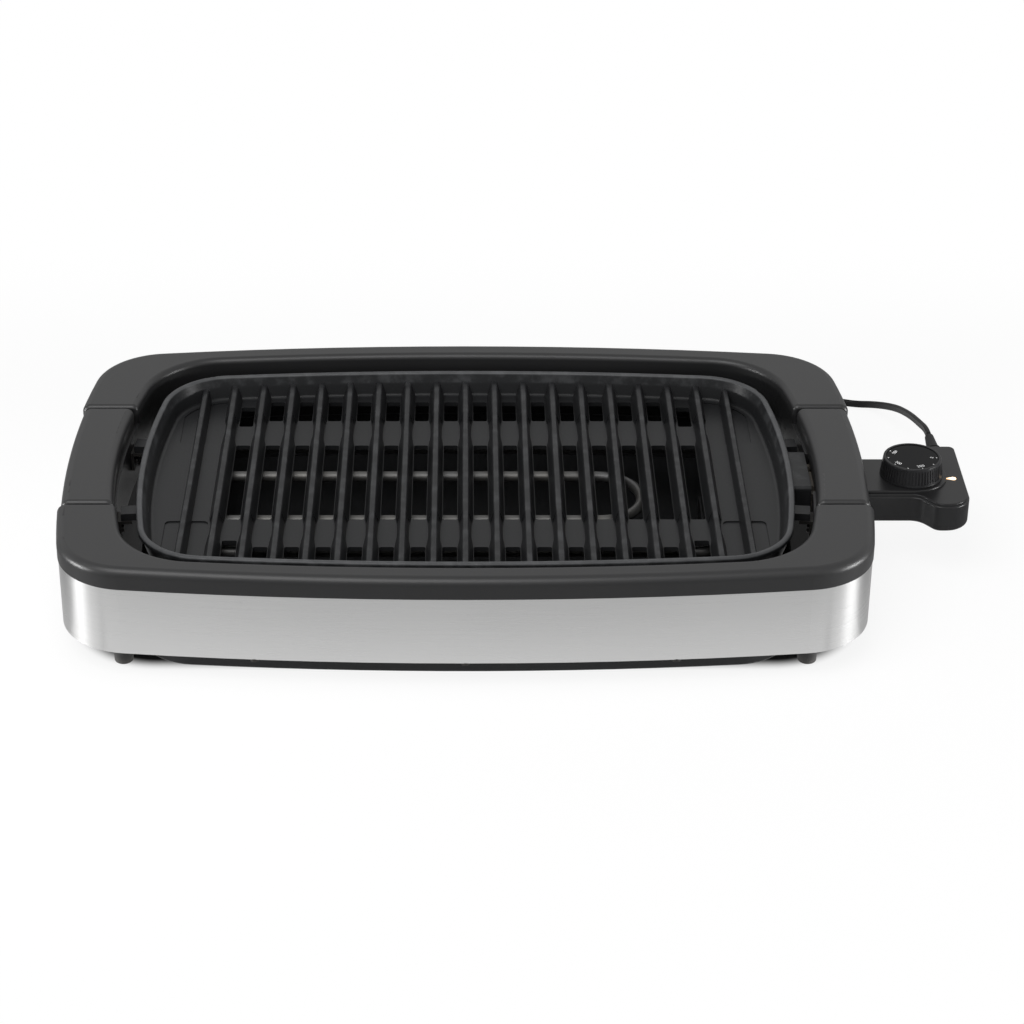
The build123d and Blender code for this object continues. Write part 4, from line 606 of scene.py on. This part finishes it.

# Studio floor and surround. White paper that the camera sees as white: it gives out most of
# what it shows and keeps the grill's soft shadow. Under the ring its colour is painted dark
# grey as painted shade. To glossy surfaces it shows a painted reflection: dimmer further
# off and beside the ring's ends, with a darker line off each corner as if from a grey card.
floor_reach = 6.0
ring_middle_x = -0.033
ring_half_length, ring_half_depth = 0.262, 0.161
shade_half_length, shade_half_depth = 0.193, 0.080
shade_corner, shade_fade = 0.046, 0.014
painted_shade_grey, paper_grey = 0.07, 0.90
glow_near, glow_far = 0.87, 1.0
glow_from, glow_rise = 0.05, 0.30
gloss_share = 0.82
gloss_near, gloss_drop = 0.86, 0.42
gloss_from, gloss_fade = 0.02, 0.11
dark_line_slope, dark_line_start = 0.78, 0.0162
dark_line_half, dark_line_fade = 0.003, 0.007
dark_line_from_x, dark_line_rise = -0.03, 0.02
dark_line_drop = 0.22
ends_from, ends_fade = -0.055, 0.012
ends_drop = 0.40
floor = bpy.data.meshes.new("floor")
floor.from_pydata([(-floor_reach, -floor_reach, 0), (floor_reach, -floor_reach, 0),
                   (floor_reach, floor_reach, 0), (-floor_reach, floor_reach, 0)],
                  [], [(0, 1, 2, 3)])
floor_piece = bpy.data.objects.new("floor", floor)
bpy.context.scene.collection.objects.link(floor_piece)
paper = Finish(bpy.data.materials.new("floor_paper"))
floor.materials.append(paper.owner)
paper_x = paper.node("ShaderNodeSeparateXYZ", {}, {0: paper.place()}, "X") - ring_middle_x
paper_y = paper.node("ShaderNodeSeparateXYZ", {}, {0: paper.place()}, "Y")
out_x = paper_x.maths("ABSOLUTE", paper_x)
out_y = paper_y.maths("ABSOLUTE", paper_y)
beyond_x, beyond_y = out_x - ring_half_length, out_y - ring_half_depth
beyond = beyond_x.maths("MAXIMUM", beyond_x, beyond_y)
corner_x = out_x.maths("MAXIMUM", out_x - shade_half_length, 0.0)
corner_y = out_y.maths("MAXIMUM", out_y - shade_half_depth, 0.0)
corner_reach = corner_x.maths("SQRT", corner_x * corner_x + corner_y * corner_y)
# Mask of the painted shade: 0 under the ring, 1 on the open floor.
outside_painted_shade = corner_reach.over(shade_corner, shade_fade)
# Painted reflection: for glossy rays the floor's glow is darker along a line off each corner,
# dimmer further off and beside the ring's ends, so that the band's corners reflect it.
dark_line_offset = beyond_y - beyond_x * dark_line_slope - dark_line_start
painted_dark_line = 1.0 - dark_line_offset.maths("ABSOLUTE", dark_line_offset).over(dark_line_half, dark_line_fade)
painted_dark_line = painted_dark_line * beyond_x.over(dark_line_from_x, dark_line_rise)
beside_ends = 1.0 - beyond_y.over(ends_from, ends_fade)
for_camera = (paper.node("ShaderNodeLightPath", {}, {}, "Is Camera Ray")
              + paper.node("ShaderNodeLightPath", {}, {}, "Is Transmission Ray"))
for_gloss = paper.node("ShaderNodeLightPath", {}, {}, "Is Glossy Ray")
camera_share = outside_painted_shade * (
    beyond.over(glow_from, glow_rise) * (glow_far - glow_near) + glow_near)
painted_reflection_level = (gloss_near - beyond.over(gloss_from, gloss_fade) * gloss_drop
               - painted_dark_line * dark_line_drop - beside_ends * ends_drop)
# Painted shade: the paper's colour is dark grey under the ring, where only shade falls.
paper.feed({
    "Base Color": paper.mixed(outside_painted_shade, (painted_shade_grey,) * 3, (paper_grey,) * 3),
    "Roughness": 0.9,
    "Specular IOR Level": 0.1,
})
glow = paper.node("ShaderNodeBsdfPrincipled", {}, {
    "Base Color": (0, 0, 0),
    "Specular IOR Level": 0.0,
    "Emission Color": for_camera + for_gloss * painted_reflection_level,
    "Emission Strength": 1.0,
})
seen = paper.node("ShaderNodeMixShader", {}, {
    0: for_camera * camera_share + for_gloss * gloss_share,
    1: Value(paper, paper.shader.outputs[0]),
    2: glow,
})
paper.plug(paper.tree.nodes["Material Output"].inputs[0], seen)
sky = Finish(bpy.data.worlds.new("studio"), "Background")
bpy.context.scene.world = sky.owner
sky_height = sky.node("ShaderNodeSeparateXYZ", {},
                      {0: sky.node("ShaderNodeTexCoord", {}, {}, "Generated")}, "Z")
sky_camera = (sky.node("ShaderNodeLightPath", {}, {}, "Is Camera Ray")
              + sky.node("ShaderNodeLightPath", {}, {}, "Is Transmission Ray"))
sky_gloss = sky.node("ShaderNodeLightPath", {}, {}, "Is Glossy Ray")
sky.feed({
    "Color": 0.35 + sky_camera * 0.65 + sky_gloss * (sky_height.over(0.02, 0.33) * 0.65 - 0.05),
    "Strength": 1.0,
})


# Lamps. One large soft lamp above, in front and to the left, and a low strip at each side
# that only the band's round corners pick up.
def lamp(name, place, aim, width, height, power):
    """A soft rectangular lamp that looks at a point."""
    light = bpy.data.lights.new(name, "AREA")
    light.shape = "RECTANGLE"
    light.size = width
    light.size_y = height
    light.energy = power
    holder = bpy.data.objects.new(name, light)
    holder.location = place
    holder.rotation_euler = (Vector(aim) - Vector(place)).to_track_quat("-Z", "Y").to_euler()
    bpy.context.scene.collection.objects.link(holder)


lamp("key_lamp", (-0.5, -0.9, 1.5), (0.0, 0.0, 0.0), 1.4, 1.0, 21.0)
lamp("left_strip", (-1.25, -0.28, 0.14), (-0.28, -0.13, 0.04), 0.34, 0.24, 12.0)
lamp("right_strip", (1.18, -0.28, 0.14), (0.22, -0.13, 0.04), 0.34, 0.24, 12.0)

bpy.context.scene.view_settings.view_transform = "Standard"
